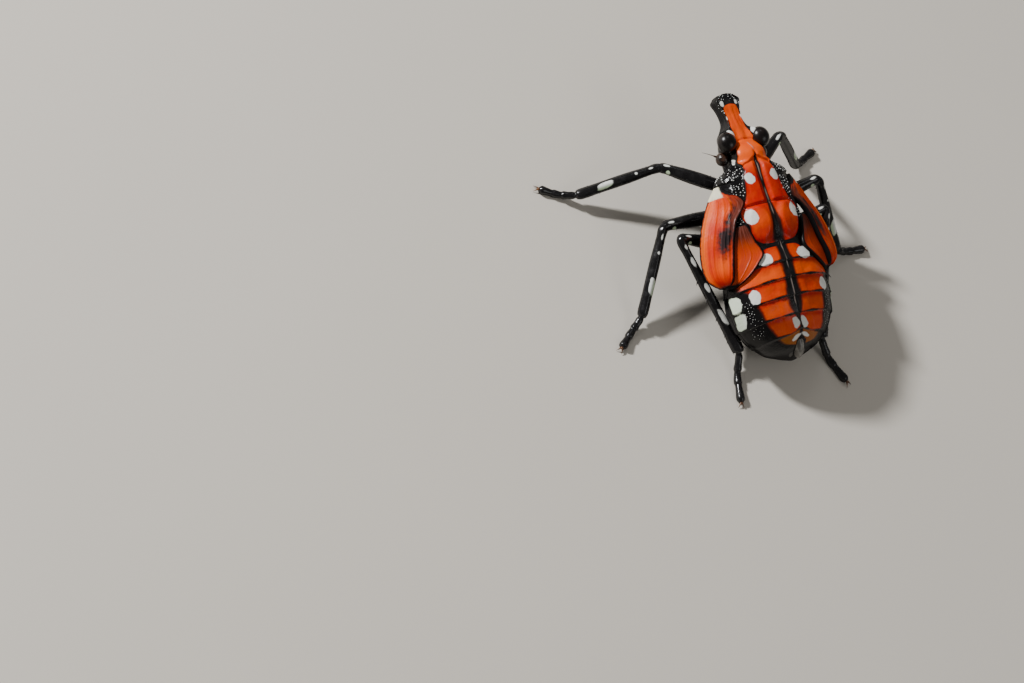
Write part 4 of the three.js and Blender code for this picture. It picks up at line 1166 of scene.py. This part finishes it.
legSizes = {
    "front": {"root": (0.67, 0.97, -2.42), "femur": 3.2, "tibia": 4.45, "tarsus": 1.8},
    "mid": {"root": (1.11, 2.32, -2.42), "femur": 3.52, "tibia": 4.57, "tarsus": 1.9},
    "hind": {"root": (1.08, 3.9, -2.41), "femur": 3.62, "tibia": 6.5, "tarsus": 2.4},
}
legPose = {
    # heading from straight out towards the tail, and lift, in degrees
    "left_front": {"femur": (-37.6, -12.3), "tibia": (-0.3, -22.3), "tarsus": -27.9},
    "left_mid": {"femur": (-0.8, -0.6), "tibia": (62.6, -26.4), "tarsus": 37.9},
    "left_hind": {"femur": (-9.6, 14.8), "tibia": (113.9, -22.2), "tarsus": 74.1},
    "right_front": {"femur": (-35.0, 18.9), "tibia": (9.8, -50.2), "tarsus": -23.9},
    "right_mid": {"femur": (-9.1, 17.7), "tibia": (58.3, -43.9), "tarsus": 2.5},
    "right_hind": {"femur": (-11.0, 14.8), "tibia": (105.9, -22.4), "tarsus": 70.3},
}
legShape = {
    "bend": 0.34, "soleHeight": 0.13, "flatFrom": 0.42,  # where along the tarsus its level sole starts
    "pathRows": (10, 70, 110, 26, 50), "around": 36, "squareness": 0.045,
    # radius along each part
    "coxa": [(0, 0.46), (0.5, 0.44), (1, 0.32)],
    "femur": [(0, 0.28), (0.08, 0.32), (0.3, 0.35), (0.6, 0.33), (0.88, 0.265), (0.96, 0.26),
              (1, 0.235)],
    "tibia": [(0, 0.225), (0.05, 0.24), (0.12, 0.22), (0.4, 0.26), (0.75, 0.255), (0.95, 0.26),
              (1, 0.2)],
    "hindTibia": [(0, 0.225), (0.04, 0.24), (0.12, 0.22), (0.4, 0.26), (0.75, 0.275), (0.96, 0.33),
                  (1, 0.26)],
    "tarsus": [(0, 0.14), (0.08, 0.185), (0.2, 0.18), (0.33, 0.205), (0.37, 0.16), (0.5, 0.19), (0.6, 0.2),
               (0.64, 0.165), (0.8, 0.19), (0.94, 0.21), (1, 0.12)],
    # white marks: part, place along it, turn round it (0 on top), half-length, half-width in mm
    "marks": [("femur", 0.91, 0.1, 0.15, 0.06), ("femur", 0.87, -1.2, 0.10, 0.09),
              ("tibia", 0.11, 0.1, 0.13, 0.035), ("tibia", 0.29, 0.0, 0.07, 0.06)],
    # the tibia's long patch has its slant added
    "patch": (0.66, -0.25, 0.40, 0.17, 0.7),
    "hindMarks": [("tibia", 0.06, 0.3, 0.12, 0.06), ("tibia", 0.19, 0.4, 0.27, 0.09),
                  ("tibia", 0.42, 0.4, 0.24, 0.11)],
    "hindPatch": (0.68, 0.3, 0.40, 0.13, 0.7),
}


def heading(side, turn, lift):
    a, b = math.radians(turn), math.radians(lift)
    return np.array([side * math.cos(a) * math.cos(b), math.sin(a) * math.cos(b), math.sin(b)])


def legJoints(name):
    sideName, pair = name.split("_")
    side = 1 if sideName == "left" else -1
    size, turns = legSizes[pair], legPose[name]
    x, s, h = size["root"]
    root = onFloorAxes([side * x, s, h])
    knee = root + heading(side, *turns["femur"]) * size["femur"]
    ankle = knee + heading(side, *turns["tibia"]) * size["tibia"]
    toe = ankle + heading(side, turns["tarsus"], 0) * size["tarsus"]
    toe[2] = legShape["soleHeight"]
    buried = onFloorAxes([side * x * 0.8, s - 0.15, h + 1.0])
    return side, pair, [buried, root, knee, ankle, toe]


def roundedPath(joints, rows):
    # straight runs joined by quadratic curves that start and end a bend's length from each corner
    bend = legShape["bend"]
    pieces, parts = [], []
    for k in range(len(joints) - 1):
        a, b = joints[k], joints[k + 1]
        way = (b - a) / np.linalg.norm(b - a)
        start = a if k == 0 else a + way * bend
        end = b if k == len(joints) - 2 else b - way * bend
        t = np.linspace(0, 1, rows[k])[:, None]
        pieces.append(start + (end - start) * t)
        if k < len(joints) - 2:
            after = joints[k + 2] - b
            after /= np.linalg.norm(after)
            t = np.linspace(0, 1, 15)[1:-1, None]
            pieces.append((1 - t) ** 2 * end + 2 * t * (1 - t) * b + t * t * (b + after * bend))
    return np.vstack(pieces)


def legSurface(name):
    # a ring at each path point; radius by part and way along it, creased at the joints between parts
    side, pair, joints = legJoints(name)
    flat = joints[3] + (joints[4] - joints[3]) * legShape["flatFrom"]
    flat[2] = legShape["soleHeight"]
    path = roundedPath(joints[:4] + [flat, joints[4]], legShape["pathRows"])
    names = ("coxa", "femur", "hindTibia" if pair == "hind" else "tibia", "tarsus")
    nearest = [int(np.argmin(np.linalg.norm(path - joints[k], axis=1))) for k in range(1, 4)]
    cuts = [0] + nearest + [len(path) - 1]
    run = np.concatenate([[0], np.cumsum(np.linalg.norm(np.diff(path, axis=0), axis=1))])
    radius, part, way = np.zeros(len(path)), np.zeros(len(path), int), np.zeros(len(path))
    for k in range(4):
        rows = np.arange(cuts[k], cuts[k + 1] + 1)
        t = (run[rows] - run[rows[0]]) / (run[rows[-1]] - run[rows[0]])
        radius[rows], part[rows], way[rows] = curveThrough(legShape[names[k]], t), k, t
    count = legShape["around"]
    turn = roundTurns(count)[None, :]
    # femur and tibia are a little square: the radius gains a cosine of four times the turn
    angular = 1 + legShape["squareness"] * np.cos(4 * turn) * np.isin(part, (1, 2))[:, None]
    points = tubeSurface(path, radius[:, None] * angular, count)
    points[..., 2] = np.maximum(points[..., 2], 0.0)
    lengths = [run[cuts[k + 1]] - run[cuts[k]] for k in range(4)]
    white = np.full((len(path), count), -1.0)
    swing = np.angle(np.exp(1j * turn)) * side
    isHind = pair == "hind"
    marks = legShape["marks"][:2] + legShape["hindMarks"] if isHind else legShape["marks"]
    for which, alongShare, about, halfLength, halfWidth in marks:
        k = 1 if which == "femur" else 2
        along = (way - alongShare)[:, None] * lengths[k]
        aside = np.angle(np.exp(1j * (swing - about))) * radius[:, None]
        mark = (1 - np.hypot(along / halfLength, aside / halfWidth)) * min(halfLength, halfWidth)
        white = np.maximum(white, np.where((part == k)[:, None], mark, -1.0))
    # the long patch is squarish and slants round the tibia
    alongShare, about, halfLength, halfWidth, slant = legShape["hindPatch" if isHind else "patch"]
    aside = np.angle(np.exp(1j * (swing - about))) * radius[:, None]
    along = (way - alongShare)[:, None] * lengths[2] + slant * aside
    box = ((along / halfLength) ** 4 + (aside / halfWidth) ** 4) ** 0.25
    white = np.maximum(white, np.where((part == 2)[:, None], (1 - box) * halfWidth, -1.0))
    green = smooth(0.1, 0.7, -swing) * np.ones((len(path), 1))
    return points, {"white": white, "green": green}, path, radius, part, way, joints, side, pair


def coneShape(base, tip, radius, bendTo=None, sides=6, rows=5):
    # tapering spine: the radius falls evenly to about a twelfth, the axis bows towards bendTo
    t = np.linspace(0, 1, rows)[:, None]
    bow = np.zeros(3) if bendTo is None else np.asarray(bendTo)
    axis = base + (tip - base) * t + bow * (t * (1 - t))
    points = tubeSurface(axis, radius * (1 - 0.92 * t[:, 0]), sides).reshape(-1, 3)
    faces = []
    for r in range(rows - 1):
        for k in range(sides):
            a, b = r * sides + k, r * sides + (k + 1) % sides
            faces.append((b, a, a + sides, b + sides))
    faces.append(tuple(range(sides)))
    faces.append(tuple(reversed(range((rows - 1) * sides, rows * sides))))
    return points, faces


spineShape = {
    # spurs by their place along the hind tibia, then the crown round its flared end, in millimetres
    "spurs": (0.34, 0.5, 0.66, 0.8), "spurFoot": 0.14, "spurOut": 0.30, "spurAlong": 0.22,
    "spurRadius": 0.07, "spurBow": -0.06,
    "crown": 7, "crownBack": 0.42, "crownFoot": 0.22, "crownAlong": 0.38, "crownOut": 0.12,
    "crownRadius": 0.06,
}


def tibiaSpines(joints):
    # spurs on the outer side and a crown of short spines round the flared end
    v = spineShape
    knee, ankle = joints[2], joints[3]
    axis = ankle - knee
    along = axis / np.linalg.norm(axis)
    across = np.cross(along, [0, 0, 1.0])
    across /= np.linalg.norm(across)
    over = np.cross(across, along)
    out = math.copysign(1.0, across[0] * (knee[0] + ankle[0]))
    shapes = []
    for t in v["spurs"]:
        foot = knee + axis * t + across * out * v["spurFoot"]
        tip = foot + across * out * v["spurOut"] + along * v["spurAlong"]
        shapes.append(coneShape(foot, tip, v["spurRadius"], along * v["spurBow"]))
    for k in range(v["crown"]):
        angle = math.pi * (0.15 + 1.7 * k / (v["crown"] - 1))
        around = across * math.sin(angle) - over * math.cos(angle)
        foot = ankle - along * v["crownBack"] + around * v["crownFoot"]
        tip = foot + along * v["crownAlong"] + around * v["crownOut"]
        shapes.append(coneShape(foot, tip, v["crownRadius"]))
    return shapes


hairs = {"count": 90, "radius": 0.011, "out": (0.05, 0.08), "along": (0.05, 0.1), "lowest": 0.1}


def bristles(path, radius, part, way):
    # short stiff hairs on femur and tibia, leaning towards the foot, none close to the floor
    shapes = []
    rows = np.flatnonzero(((part == 1) | (part == 2)) & (way > 0.06) & (way < 0.97))
    for row in rng.choice(rows, hairs["count"]):
        tangent = path[min(row + 1, len(path) - 1)] - path[row - 1]
        tangent /= np.linalg.norm(tangent)
        across = np.cross(tangent, [0, 0, 1.0])
        across /= np.linalg.norm(across)
        over = np.cross(across, tangent)
        angle = rng.uniform(0, 2 * math.pi)
        out = across * math.sin(angle) + over * math.cos(angle)
        base = path[row] + out * (radius[row] - 0.01)
        tip = base + out * rng.uniform(*hairs["out"]) + tangent * rng.uniform(*hairs["along"])
        if base[2] > hairs["lowest"]:
            shapes.append(coneShape(base, tip, hairs["radius"], sides=4, rows=3))
    return shapes


clawShape = {"spread": 30, "sunk": 0.06, "length": 0.32, "tipHeight": 0.035, "radius": 0.07, "arch": 0.22}


def clawPair(toe, side, turn):
    # two claws spread from the foot, arched up and down again to just over the floor
    v = clawShape
    shapes = []
    for spread in (-v["spread"], v["spread"]):
        out = heading(side, turn + spread, 0)
        tip = toe + out * v["length"]
        tip[2] = v["tipHeight"]
        shapes.append(coneShape(toe - out * v["sunk"], tip, v["radius"], (0, 0, v["arch"]), 8, 8))
    return shapes


def makeLegs():
    spines, claws = [], []
    for name in legPose:
        points, layers, path, radius, part, way, joints, side, pair = legSurface(name)
        replaced = ["leg_%s_%s" % (name, kind) for kind in ("coxa", "femur", "tibia", "tarsus")]
        mesh = gridMesh("leg_" + name, inFrame(points), attributes=layers, flip=True)
        place("leg_skin_" + name, mesh, legLook, "black_cuticle", replaced)
        if pair == "hind":
            spines += tibiaSpines(joints)
        spines += bristles(path, radius, part, way)
        claws += clawPair(joints[4], side, legPose[name]["tarsus"])
    for name, shapes, look in (("leg_spines", spines, blackLook), ("claws", claws, clawLook)):
        place(name, joinShapes(name, [(inFrame(p), f) for p, f in shapes]), look, "black_cuticle")


makeLegs()
print("legs made")
